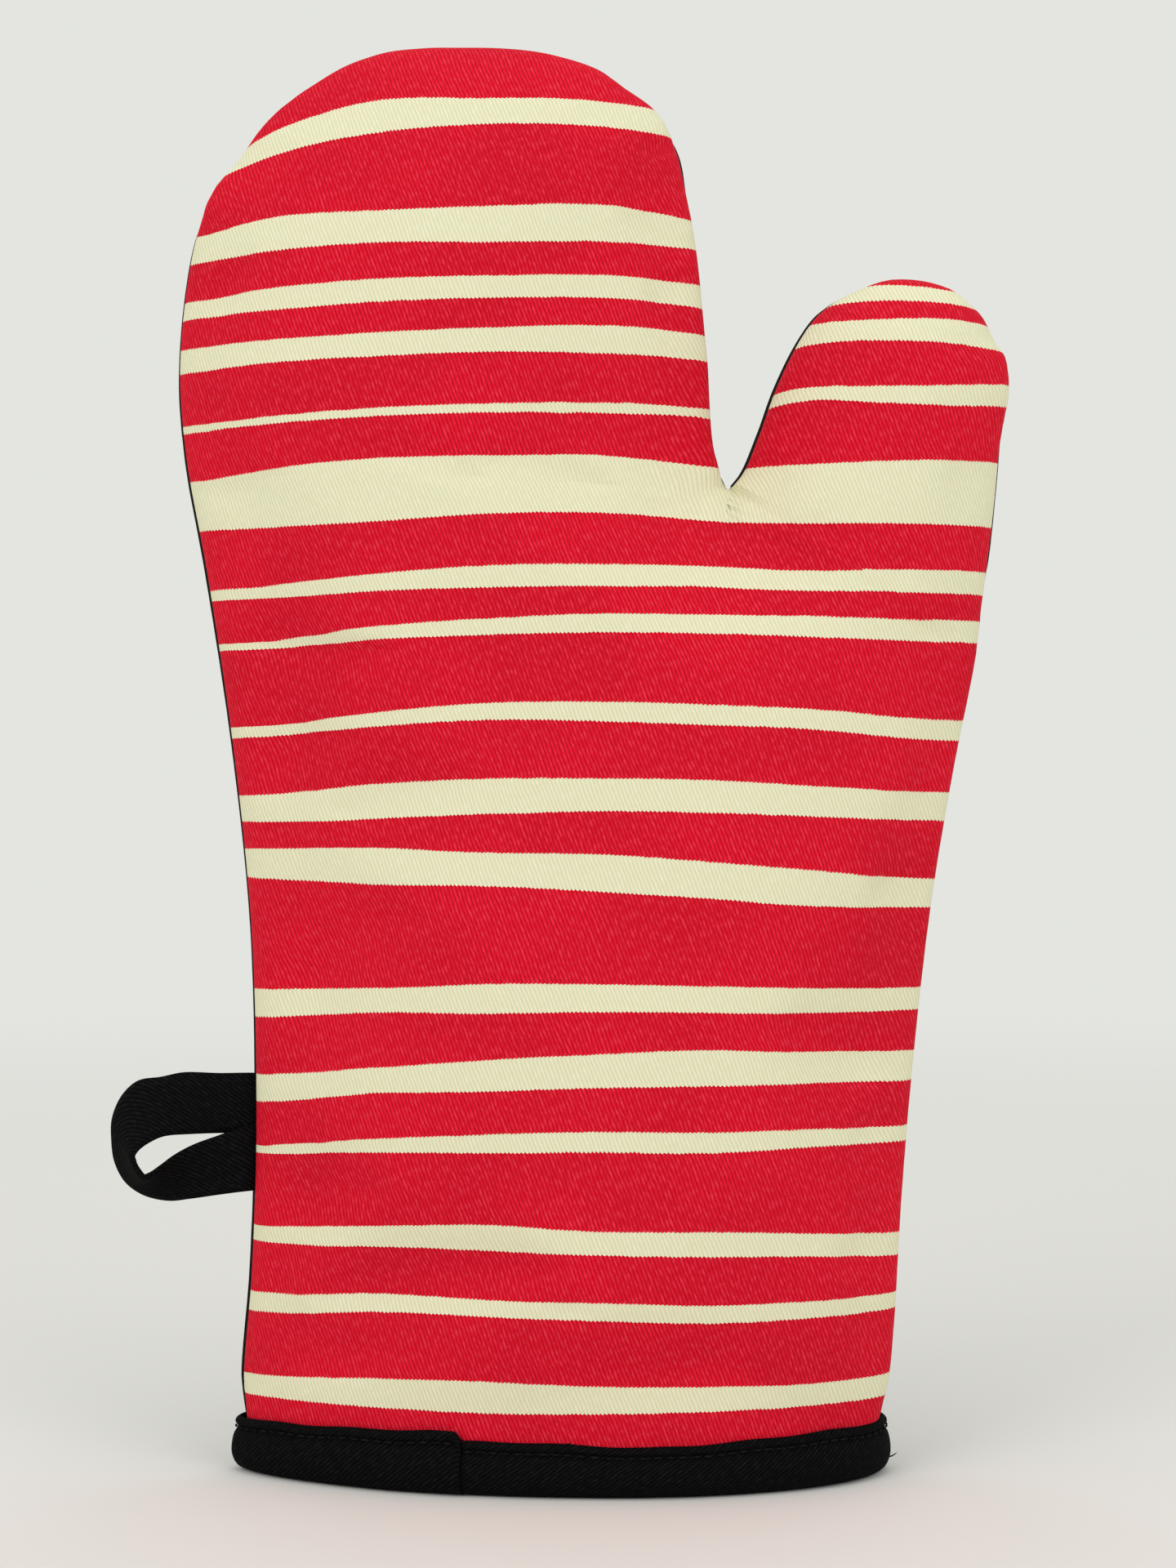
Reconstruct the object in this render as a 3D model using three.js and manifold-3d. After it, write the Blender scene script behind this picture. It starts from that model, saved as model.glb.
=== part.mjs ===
// An insulated oven mitt standing on its open cuff. Millimetres, +Z up, +X towards the thumb,
// -Y towards the printed face. The origin is on the surface it stands on, below the middle.
//
// Two mitten-shaped halves meet at a side seam in the plane y = 0. Each half is three layers, a
// twill shell, a thick wadding and a thin lining, and the three are bound together at the cuff.
// The cloth bends where the fingers and the thumb fold, so each layer is made in a palm, a
// finger and a thumb section, with a wedge of room on the palm side of each fold.
import * as THREE from "three";
import { mergeVertices } from "three/addons/utils/BufferGeometryUtils.js";
import Module from "manifold-3d";

const wasm = await Module();
wasm.setup();

// ---- driving dimensions --------------------------------------------------------------------

const CUFF = { left: -71.6, right: 72.4, halfDepth: 29.3, straight: 13 };
const BELOW = 20; // how far the cuff runs on below the rim while it is being cut

// The side seam seen from the front, as [x, z]: up the finger side and over to the thumb crotch,
// then round the thumb and down the thumb side.
const FINGER_SIDE = [
  [CUFF.left, -BELOW], [CUFF.left, 0], [CUFF.left, CUFF.straight], [-72.6, 20], [-70.3, 48],
  [-69.4, 80], [-70.4, 122], [-74.4, 162], [-80.2, 199], [-85.2, 229], [-86.3, 252],
  [-80.5, 283.5], [-66, 303], [-46.5, 316.3], [-20, 320], [5, 316], [20.5, 306.5],
  [28.3, 294], [31.5, 270], [34.2, 242], [36, 226], [38.4, 221.2],
];
const FINGER_SHOULDERS = [11, 17]; // where the finger tip's dome starts and ends
const THUMB_SIDE = [
  [38.4, 221.2], [40.2, 224], [44, 233.5], [48.5, 245.5], [53.5, 256], [59.5, 262.6],
  [68.5, 267], [77.5, 268.2], [87, 266.5], [95, 261], [99.8, 253.5], [101.4, 243.5],
  [99.8, 226], [97.8, 204], [94, 182], [89.8, 160], [84.3, 129], [80.4, 96], [77.3, 62],
  [75.4, 32], [74.2, 20], [CUFF.right, CUFF.straight], [CUFF.right, 0], [CUFF.right, -BELOW],
];
const THUMB_SHOULDERS = [5, 9];
const THUMB_BASE = 14; // where the thumb's root line meets the thumb side
const CROTCH = THUMB_SIDE[0];

// Half the mitt's depth, and how far in from the seam the cloth reaches it.
const DEPTH = { cuff: CUFF.halfDepth, fingers: 20.5, thumb: 17.5, fingersFrom: 290 };
const ROUND = { hand: 60, thumb: 26 };
const FULLNESS = 0.55;

// Where the palm's shape turns into the thumb's: from before the root line to beyond it, and
// from left to right.
const THUMB_BLEND = { before: -52, beyond: 26, left: 14, right: 50 };

// Each layer's outer and inner surface, as a distance in from the mitt's outer surface.
const LAYERS = { shell: [0, 0.8], wadding: [1.1, 6.1], lining: [6.4, 7.0] };
const SEAM_GAP = 0.5; // from the seam plane to each half
const RAW_EDGE = 1.5; // height of the layers' lower edges, inside the binding

const BINDING = {
  height: 12, outside: -2.0, inside: 8.8, channel: [-0.3, 7.3], floor: 1.2,
  groove: { bottom: 8.7, top: 9.9, outside: -1.2, inside: 8.0 },
};
const THREAD = {
  radius: 0.2, sides: 4, clear: 0.3, seamInset: 1.0, liningInset: 6.7, lowest: 12.5,
  fromFold: 0.0016, // how far from a fold each stretch of seam stops, as a share of its side
};

// The folds: origin and normal of the bending plane, the pivot's depth, and the largest angle.
const FOLD_GAP = 0.3;
const FINGER_FOLD = { height: 258, pivotDepth: 15, angle: 50, from: -130, to: 40 };
const THUMB_FOLD = { beyondRoot: 17, pivotDepth: 12, angle: 40, from: -12, to: 130 };

// The hanging loop: a tape whose two ends lie one above the other in the side seam.
const LOOP = {
  thickness: 1.8, pinched: 0.6, pinchSteps: 2, endX: -71.0, tailEnd: -69.8, tailInner: -64,
  stitchFromEye: 3.2, stitchLift: 0.7,
};

const COLOURS = {
  print: 0xd3142b, black: 0x17171a, wadding: 0xe9e6dc, lining: 0x2b2b2f, thread: 0x101012,
};

// ---- small tools ---------------------------------------------------------------------------

const lerp = THREE.MathUtils.lerp;
const smoothstep = THREE.MathUtils.smoothstep;

// A closed BufferGeometry as a manifold solid, and back.
function toSolid(geometry) {
  const bare = geometry.index ? geometry.toNonIndexed() : geometry.clone();
  bare.deleteAttribute("normal");
  bare.deleteAttribute("uv");
  const merged = mergeVertices(bare, 1e-4);
  return new wasm.Manifold(new wasm.Mesh({
    numProp: 3,
    vertProperties: merged.attributes.position.array,
    triVerts: new Uint32Array(merged.index.array),
  }));
}

function toGeometry(solid) {
  const mesh = solid.getMesh();
  const positions = new Float32Array(mesh.numVert * 3);
  for (let i = 0; i < mesh.numVert; i++) {
    positions.set(mesh.vertProperties.subarray(i * mesh.numProp, i * mesh.numProp + 3), i * 3);
  }
  const geometry = new THREE.BufferGeometry();
  geometry.setAttribute("position", new THREE.BufferAttribute(positions, 3));
  geometry.setIndex(new THREE.BufferAttribute(mesh.triVerts, 1));
  return geometry;
}

// The largest body of a solid: a cut near the seam can leave a sliver beside it.
function largest(solid) {
  return solid.decompose().reduce((a, b) => (b.volume() > a.volume() ? b : a));
}

// A closed solid from rings of points that all have the same length, capped at both ends.
function loft(rings) {
  const size = rings[0].length;
  const positions = [];
  const triangle = (...points) => points.forEach((p) => positions.push(p.x, p.y, p.z));
  for (let i = 0; i + 1 < rings.length; i++) {
    for (let j = 0; j < size; j++) {
      const k = (j + 1) % size;
      triangle(rings[i][j], rings[i][k], rings[i + 1][k]);
      triangle(rings[i][j], rings[i + 1][k], rings[i + 1][j]);
    }
  }
  for (let j = 1; j + 1 < size; j++) {
    triangle(rings[0][0], rings[0][j + 1], rings[0][j]);
    triangle(rings.at(-1)[0], rings.at(-1)[j], rings.at(-1)[j + 1]);
  }
  const geometry = new THREE.BufferGeometry();
  geometry.setAttribute("position", new THREE.Float32BufferAttribute(positions, 3));
  return geometry;
}

// A box from its lowest to its highest corner, as a solid.
function box(low, high) {
  const geometry = new THREE.BoxGeometry(high[0] - low[0], high[1] - low[1], high[2] - low[2]);
  geometry.translate((low[0] + high[0]) / 2, (low[1] + high[1]) / 2, (low[2] + high[2]) / 2);
  return toSolid(geometry);
}

// ---- the outline ---------------------------------------------------------------------------

function seamCurve(points) {
  const places = points.map(([x, z]) => new THREE.Vector3(x, 0, z));
  return new THREE.CatmullRomCurve3(places, false, "centripetal");
}

const fingerSide = seamCurve(FINGER_SIDE);
const thumbSide = seamCurve(THUMB_SIDE);
const atIndex = (points, index) => index / (points.length - 1);

// A point of the seam moved in from the edge. The mitt lies to the right of the way it runs.
function seamPoint(curve, t, inset) {
  const point = curve.getPoint(t);
  const isCrotch = (curve === fingerSide && t >= 1) || (curve === thumbSide && t <= 0);
  const along = curve.getTangent(t);
  const inward = isCrotch ? new THREE.Vector3(0, 0, -1) : new THREE.Vector3(along.z, 0, -along.x);
  return point.addScaledVector(inward, inset);
}

// The parameter at which a side that climbs, or falls, passes a height.
function atHeight(curve, height, low, high) {
  const climbs = curve.getPoint(high).z > curve.getPoint(low).z;
  let [a, b] = [low, high];
  for (let i = 0; i < 40; i++) {
    const middle = (a + b) / 2;
    if (curve.getPoint(middle).z < height === climbs) a = middle;
    else b = middle;
  }
  return (a + b) / 2;
}

const outline = [...fingerSide.getPoints(400), ...thumbSide.getPoints(400)];

// The distance from a point of the mitt to its seam.
function fromSeam(x, z) {
  let best = Infinity;
  for (let i = 0; i + 1 < outline.length; i++) {
    const [a, b] = [outline[i], outline[i + 1]];
    const [dx, dz] = [b.x - a.x, b.z - a.z];
    const length = dx * dx + dz * dz;
    if (length < 1e-9) continue;
    const t = THREE.MathUtils.clamp(((x - a.x) * dx + (z - a.z) * dz) / length, 0, 1);
    best = Math.min(best, Math.hypot(x - a.x - t * dx, z - a.z - t * dz));
  }
  return best;
}

// ---- the mitt's surface --------------------------------------------------------------------

const rootLine = new THREE.Vector3(
  THUMB_SIDE[THUMB_BASE][0] - CROTCH[0], 0, THUMB_SIDE[THUMB_BASE][1] - CROTCH[1],
).normalize();
const thumbWay = new THREE.Vector3(-rootLine.z, 0, rootLine.x); // square to the root line

// How much a point belongs to the thumb, from 0 on the palm and fingers to 1.
function thumbShare(x, z) {
  const beyond = (x - CROTCH[0]) * thumbWay.x + (z - CROTCH[1]) * thumbWay.z;
  return smoothstep(beyond, THUMB_BLEND.before, THUMB_BLEND.beyond)
    * smoothstep(x, THUMB_BLEND.left, THUMB_BLEND.right);
}

// Half the depth of the mitt at a point, for a surface that lies inset within the outer one.
function halfDepth(x, z, inset, distance) {
  const share = thumbShare(x, z);
  const hand = lerp(DEPTH.cuff, DEPTH.fingers, smoothstep(z, CUFF.straight, DEPTH.fingersFrom));
  const full = lerp(hand, DEPTH.thumb, share) - inset;
  const reach = lerp(ROUND.hand, ROUND.thumb, share) - inset;
  const s = THREE.MathUtils.clamp((distance - inset) / reach, 0, 1);
  return full * Math.pow(1 - (1 - s) ** 2, FULLNESS);
}

const COLUMNS = 10;
const CROWDING = 0.8; // how much closer the columns stand near the seams
const across = (j) =>
  j / COLUMNS - (CROWDING * Math.sin((2 * Math.PI * j) / COLUMNS)) / (2 * Math.PI);
const LOW_ROWS = [-BELOW, CUFF.straight, 22, 48, 82, 118, 153, 182];
const ROOT_ROWS = 5;
const FINGER_ROWS = 6;
const THUMB_ROWS = 5;
const ROW_EASE = 1.3; // makes the rows beside the crotch follow it closely

// The left and right ends of each row of the hand's grid, and how much the dome shapes the row.
function handRows(inset) {
  const rows = [];
  const baseT = atIndex(THUMB_SIDE, THUMB_BASE);
  const left = (z) => atHeight(fingerSide, z, 0, atIndex(FINGER_SIDE, 10));
  for (const z of LOW_ROWS) {
    const right = z === LOW_ROWS.at(-1) ? baseT : atHeight(thumbSide, z, baseT, 1);
    rows.push([seamPoint(fingerSide, left(z), inset), seamPoint(thumbSide, right, inset), 0]);
  }
  const base = seamPoint(thumbSide, baseT, inset);
  const crotch = seamPoint(thumbSide, 0, inset);
  for (let k = 1; k <= ROOT_ROWS; k++) {
    const share = (1 - Math.cos((Math.PI * k) / ROOT_ROWS)) / 2;
    const z = lerp(LOW_ROWS.at(-1), CROTCH[1], share);
    rows.push([seamPoint(fingerSide, left(z), inset), base.clone().lerp(crotch, share), 0]);
  }
  const [shoulderL, shoulderR] = FINGER_SHOULDERS.map((i) => atIndex(FINGER_SIDE, i));
  for (let k = 1; k <= FINGER_ROWS; k++) {
    const share = (k / FINGER_ROWS) ** ROW_EASE;
    const l = seamPoint(fingerSide, lerp(left(CROTCH[1]), shoulderL, share), inset);
    const r = seamPoint(fingerSide, lerp(1, shoulderR, share), inset);
    rows.push([l, r, (k / FINGER_ROWS) ** 2]);
  }
  return rows;
}

// Points inside four edges, by Coons's rule: the two pairs of edges are blended and the blend of
// the corners is taken away once.
function patch(rows, bottom, top, columnShare) {
  const [p00, p10] = rows[0];
  const [p01, p11] = rows.at(-1);
  return rows.map(([left, right, v]) => bottom.map((low, j) => {
    if (j === 0) return left.clone();
    if (j === bottom.length - 1) return right.clone();
    const u = columnShare(j);
    const corner = (a, b, c, d) => (1 - v) * ((1 - u) * a + u * b) + v * ((1 - u) * c + u * d);
    const blend = (axis) =>
      (1 - v) * low[axis] + v * top[j][axis] + (1 - u) * left[axis] + u * right[axis]
      - corner(p00[axis], p10[axis], p01[axis], p11[axis]);
    return new THREE.Vector3(blend("x"), 0, blend("z"));
  }));
}

function handGrid(inset) {
  const rows = handRows(inset);
  const dome = FINGER_SHOULDERS.map((i) => atIndex(FINGER_SIDE, i));
  const [bottom, top] = [[], []];
  for (let j = 0; j <= COLUMNS; j++) {
    bottom.push(rows[0][0].clone().lerp(rows[0][1], across(j)));
    top.push(seamPoint(fingerSide, lerp(dome[0], dome[1], j / COLUMNS), inset));
  }
  return patch(rows, bottom, top, across);
}

// The thumb's grid stands on the stretch of the hand grid's right edge that is the root line.
function thumbGrid(hand, inset) {
  const first = LOW_ROWS.length - 1;
  const root = hand.slice(first, first + ROOT_ROWS + 1).map((row) => row.at(-1)).reverse();
  const [shoulderL, shoulderR] = THUMB_SHOULDERS.map((i) => atIndex(THUMB_SIDE, i));
  const rows = [];
  for (let k = 0; k <= THUMB_ROWS; k++) {
    const share = k / THUMB_ROWS;
    rows.push([
      k ? seamPoint(thumbSide, shoulderL * share ** ROW_EASE, inset) : root[0].clone(),
      k ? seamPoint(thumbSide, lerp(atIndex(THUMB_SIDE, THUMB_BASE), shoulderR, share), inset)
        : root.at(-1).clone(),
      share,
    ]);
  }
  const top = root.map((_, j) =>
    seamPoint(thumbSide, lerp(shoulderL, shoulderR, j / ROOT_ROWS), inset));
  const column = (j) => (1 - Math.cos((Math.PI * j) / ROOT_ROWS)) / 2;
  return patch(rows, root, top, column);
}

// The whole mitt as one closed solid whose surface lies inset within the outer one.
function mittSolid(inset) {
  const hand = handGrid(inset);
  const thumb = thumbGrid(hand, inset);
  const positions = [];
  const depths = new Map();
  const onSeam = new Set();
  const key = (p) => `${p.x.toFixed(3)},${p.z.toFixed(3)}`;
  const rootRows = [LOW_ROWS.length - 1, LOW_ROWS.length - 1 + ROOT_ROWS];
  hand.forEach((row, i) => {
    onSeam.add(key(row[0]));
    if (i <= rootRows[0] || i >= rootRows[1]) onSeam.add(key(row.at(-1)));
  });
  hand.at(-1).forEach((p) => onSeam.add(key(p)));
  thumb.forEach((row) => [row[0], row.at(-1)].forEach((p) => onSeam.add(key(p))));
  thumb.at(-1).forEach((p) => onSeam.add(key(p)));
  const depthAt = (p) => {
    const k = key(p);
    if (!depths.has(k)) {
      depths.set(k, onSeam.has(k) ? 0 : halfDepth(p.x, p.z, inset, fromSeam(p.x, p.z)));
    }
    return depths.get(k);
  };
  const place = (p, side) => [p.x, side * depthAt(p), p.z];
  const quad = (a, b, c, d, side) => {
    const order = side < 0 ? [a, b, c, a, c, d] : [a, c, b, a, d, c];
    order.forEach((p) => positions.push(...place(p, side)));
  };
  for (const grid of [hand, thumb]) {
    for (let i = 0; i + 1 < grid.length; i++) {
      for (let j = 0; j + 1 < grid[i].length; j++) {
        for (const side of [-1, 1]) {
          quad(grid[i][j], grid[i][j + 1], grid[i + 1][j + 1], grid[i + 1][j], side);
        }
      }
    }
  }
  const rim = hand[0]; // the flat cap under the cuff
  for (let j = 0; j + 1 < rim.length; j++) {
    const [a, b] = [rim[j], rim[j + 1]];
    const corners = [place(a, -1), place(a, 1), place(b, 1), place(b, -1)];
    [0, 1, 2, 0, 2, 3].forEach((k) => positions.push(...corners[k]));
  }
  const geometry = new THREE.BufferGeometry();
  geometry.setAttribute("position", new THREE.Float32BufferAttribute(positions, 3));
  return toSolid(geometry);
}

// ---- folds ---------------------------------------------------------------------------------

// Everything beyond a fold. In the plane square to the fold's line the border is level up to the
// pivot, then leans away by half the angle, so the two sections close on each other when folded.
// side is 1 for the section that moves and -1 for what is cut from the one that stays.
function beyondFold(origin, way, fold, side) {
  const far = 120;
  const lean = Math.tan(THREE.MathUtils.degToRad(fold.angle / 2));
  const border = new THREE.Shape([
    new THREE.Vector2(-far, side * FOLD_GAP),
    new THREE.Vector2(fold.pivotDepth, side * FOLD_GAP),
    new THREE.Vector2(far, side * (FOLD_GAP + (far - fold.pivotDepth) * lean)),
    new THREE.Vector2(far, 2 * far),
    new THREE.Vector2(-far, 2 * far),
  ]);
  const geometry = new THREE.ExtrudeGeometry(border, {
    depth: fold.to - fold.from, bevelEnabled: false,
  });
  const depthWay = new THREE.Vector3(0, 1, 0);
  const lineWay = new THREE.Vector3().crossVectors(depthWay, way);
  geometry.translate(0, 0, fold.from);
  geometry.applyMatrix4(new THREE.Matrix4().makeBasis(depthWay, way, lineWay));
  geometry.translate(origin.x, origin.y, origin.z);
  return toSolid(geometry);
}

const fingerOrigin = new THREE.Vector3(0, 0, FINGER_FOLD.height);
const fingerWay = new THREE.Vector3(0, 0, 1);
const thumbOrigin = new THREE.Vector3(CROTCH[0], 0, CROTCH[1])
  .addScaledVector(thumbWay, THUMB_FOLD.beyondRoot);

// The parameter between two others at which a seam, at its own depth, crosses a fold.
function atFold(curve, from, to, inset, origin, way) {
  const isBeyond = (t) => seamPoint(curve, t, inset).sub(origin).dot(way) > 0;
  const startsBeyond = isBeyond(from);
  let [a, b] = [from, to];
  for (let i = 0; i < 40; i++) {
    const middle = (a + b) / 2;
    if (isBeyond(middle) === startsBeyond) a = middle;
    else b = middle;
  }
  return (a + b) / 2;
}

const SECTIONS = {
  palm: (solid) => solid
    .subtract(beyondFold(fingerOrigin, fingerWay, FINGER_FOLD, -1))
    .subtract(beyondFold(thumbOrigin, thumbWay, THUMB_FOLD, -1)),
  fingers: (solid) => solid.intersect(beyondFold(fingerOrigin, fingerWay, FINGER_FOLD, 1)),
  thumb: (solid) => solid.intersect(beyondFold(thumbOrigin, thumbWay, THUMB_FOLD, 1)),
};

// ---- the layers ----------------------------------------------------------------------------

const FAR = 500;
const HALVES = {
  front: box([-FAR, -FAR, RAW_EDGE], [FAR, -SEAM_GAP, FAR]),
  back: box([-FAR, SEAM_GAP, RAW_EDGE], [FAR, FAR, FAR]),
};

// ---- the hanging loop ----------------------------------------------------------------------

// The tape's two edges, as [x, y, z] from the upper end round the turn to the lower end. At the
// ends it lies flat in the seam's plane. At the turn it stands on edge, so the ring that it makes
// is a shallow cone with an eye through it.
const LOOP_OUTER = [
  [LOOP.endX, 0, 88.4], [-76, 0.2, 88.3], [-82.5, 1.6, 88], [-89, 3.6, 86.6], [-95, 5, 83.8],
  [-99.4, 5.8, 78.6], [-100.5, 6.2, 72.4], [-98.8, 6.2, 66.6], [-94.6, 6.1, 62.7],
  [-88.5, 5.6, 61.1], [-82, 3.8, 61.3], [-76, 1.4, 62], [LOOP.endX, 0, 62.6],
];
const LOOP_INNER = [
  [LOOP.endX, 0, 75.9], [-76, -0.2, 76], [-82.5, -1.6, 76.2], [-87.5, -3.6, 76.2],
  [-91.6, -5, 75.4], [-94.8, -5.8, 73], [-95.4, -6.2, 69.8], [-94.8, -6.3, 67],
  [-92.3, -6.1, 65.6], [-88.2, -5.6, 67.2], [-82, -3.8, 71], [-76, -1.4, 73.8],
  [LOOP.endX, 0, 75.2],
];
const LOOP_STEPS = 24;

const edgeCurve = (points) =>
  new THREE.CatmullRomCurve3(points.map((p) => new THREE.Vector3(...p)), false, "centripetal");
const loopOuter = edgeCurve(LOOP_OUTER);
const loopInner = edgeCurve(LOOP_INNER);

// The tape across one place: its two edges, and its outward face direction.
function tapeAt(t) {
  const [a, b] = [loopOuter.getPoint(t), loopInner.getPoint(t)];
  const along = loopOuter.getTangent(t).add(loopInner.getTangent(t)).normalize();
  const width = b.clone().sub(a).normalize();
  const face = new THREE.Vector3().crossVectors(width, along).normalize();
  return { outer: a, inner: b, face };
}

function tapeHalfThickness(t) {
  const fromEnd = Math.min(t, 1 - t) * LOOP_STEPS;
  return lerp(LOOP.pinched, LOOP.thickness, smoothstep(fromEnd, 0, LOOP.pinchSteps)) / 2;
}

function hangingLoop() {
  const rings = [];
  for (let i = 0; i <= LOOP_STEPS; i++) {
    const t = i / LOOP_STEPS;
    const { outer, inner, face } = tapeAt(t);
    const half = tapeHalfThickness(t);
    rings.push([
      inner.clone().addScaledVector(face, half), inner.clone().addScaledVector(face, -half),
      outer.clone().addScaledVector(face, -half), outer.clone().addScaledVector(face, half),
    ]);
  }
  return toSolid(loft(rings));
}

// The line of edge stitching, on the tape's outward face beside the eye.
function loopStitching() {
  const points = [];
  for (let i = 2; i <= LOOP_STEPS - 2; i++) {
    const t = i / LOOP_STEPS;
    const { outer, inner, face } = tapeAt(t);
    const width = outer.clone().sub(inner).normalize();
    points.push(inner.clone().addScaledVector(width, LOOP.stitchFromEye)
      .addScaledVector(face, tapeHalfThickness(t) + LOOP.stitchLift + THREAD.radius));
  }
  return thread(points);
}

// The two ends of the tape that the side seam is sewn through, and the room that they take.
function loopTail(z0, z1, margin) {
  const half = LOOP.thickness / 2 + margin;
  const inner = LOOP.tailInner + margin;
  const tail = box([LOOP.tailEnd - margin, -half, z0 - margin], [inner, half, z1 + margin]);
  if (margin) return tail;
  const hole = THREAD.radius + THREAD.clear;
  const x = seamPoint(fingerSide, atHeight(fingerSide, (z0 + z1) / 2, 0, 0.4), 0).x;
  const place = x + THREAD.seamInset;
  return tail.subtract(box([place - 2 * hole, -hole, z0 - 1], [place + 2 * hole, hole, z1 + 1]));
}
const TAILS = { upper: [76, 88.2], lower: [62.8, 75] };

// ---- threads and the binding ---------------------------------------------------------------

// A thread through a list of points.
function thread(points) {
  const section = new THREE.Shape();
  for (let i = 0; i < THREAD.sides; i++) {
    const a = (2 * Math.PI * i) / THREAD.sides;
    const place = [THREAD.radius * Math.cos(a), THREAD.radius * Math.sin(a)];
    if (i) section.lineTo(...place);
    else section.moveTo(...place);
  }
  const path = new THREE.CatmullRomCurve3(points, false, "centripetal");
  return toSolid(new THREE.ExtrudeGeometry(section, {
    steps: Math.max(2, points.length - 1), extrudePath: path, bevelEnabled: false,
  }));
}

// The stretch of the side seam between two parameters of its curve, as a thread.
function seamThread(curve, from, to, inset, steps) {
  const points = [];
  for (let i = 0; i <= steps; i++) {
    points.push(seamPoint(curve, lerp(from, to, i / steps), inset));
  }
  return points;
}

// The cuff seen from above, moved in from the mitt's outer surface.
function cuffRing(inset, z) {
  const ring = [];
  const [left, right] = [CUFF.left + inset, CUFF.right - inset];
  const place = (j, side) => {
    const x = lerp(left, right, across(j));
    const s = THREE.MathUtils.clamp(Math.min(x - left, right - x) / (ROUND.hand - inset), 0, 1);
    const y = side * (DEPTH.cuff - inset) * Math.pow(1 - (1 - s) ** 2, FULLNESS);
    return new THREE.Vector3(x, y, z);
  };
  for (let j = 0; j < COLUMNS; j++) ring.push(place(j, -1));
  for (let j = COLUMNS; j > 0; j--) ring.push(place(j, 1));
  return ring;
}

const cuffPrism = (inset, bottom, top) =>
  toSolid(loft([cuffRing(inset, bottom), cuffRing(inset, top)]));

// The tape folded over the raw edges of all the layers: a channel, pulled in where it is sewn.
function cuffBinding() {
  const { height, outside, inside, channel, floor, groove } = BINDING;
  const body = cuffPrism(outside, 0, groove.bottom)
    .add(cuffPrism(groove.outside, groove.bottom - 0.5, groove.top + 0.5))
    .add(cuffPrism(outside, groove.top, height));
  const hollow = cuffPrism(inside, -1, groove.bottom)
    .add(cuffPrism(groove.inside, groove.bottom - 0.5, groove.top + 0.5))
    .add(cuffPrism(inside, groove.top, height + 1));
  const slot = cuffPrism(channel[0], floor, height + 1)
    .subtract(cuffPrism(channel[1], floor - 1, height + 2));
  return body.subtract(hollow).subtract(slot);
}

// A ring of stitching lying in one of the binding's grooves.
function cuffStitching(inset) {
  const z = (BINDING.groove.bottom + BINDING.groove.top) / 2;
  const tube = (grow, rise) => cuffPrism(inset + grow, z - rise, z + rise);
  const r = THREAD.radius;
  return tube(-r, r).subtract(tube(r, 2 * r));
}

// ---- the assembly --------------------------------------------------------------------------

const mitt = new THREE.Group();

function addPiece(name, solid, colour, roughness = 0.9) {
  const material = new THREE.MeshStandardMaterial({ color: colour, roughness, metalness: 0 });
  const mesh = new THREE.Mesh(toGeometry(largest(solid)), material);
  mesh.name = name;
  mitt.add(mesh);
}

const tailRoom = loopTail(TAILS.lower[0], TAILS.upper[1], FOLD_GAP);
const layerColour = (layer, half) => {
  if (layer === "shell") return half === "front" ? COLOURS.print : COLOURS.black;
  return COLOURS[layer];
};
for (const [layer, [outer, inner]] of Object.entries(LAYERS)) {
  const wall = mittSolid(outer).subtract(mittSolid(inner)).subtract(tailRoom);
  for (const [half, side] of Object.entries(HALVES)) {
    const sheet = wall.intersect(side);
    for (const [section, cut] of Object.entries(SECTIONS)) {
      addPiece(`${half}_${layer}_${section}`, cut(sheet), layerColour(layer, half));
    }
  }
}

addPiece("cuff_binding", cuffBinding(), COLOURS.black);
const clearOfGroove = THREAD.clear + THREAD.radius;
addPiece("cuff_topstitch", cuffStitching(BINDING.groove.outside - clearOfGroove), COLOURS.thread);
addPiece("cuff_understitch", cuffStitching(BINDING.groove.inside + clearOfGroove), COLOURS.thread);

addPiece("hanging_loop", hangingLoop(), COLOURS.black);
addPiece("loop_edge_stitching", loopStitching(), COLOURS.thread);
for (const [name, [z0, z1]] of Object.entries(TAILS)) {
  addPiece(`loop_tail_${name}`, loopTail(z0, z1, 0), COLOURS.black);
}

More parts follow.
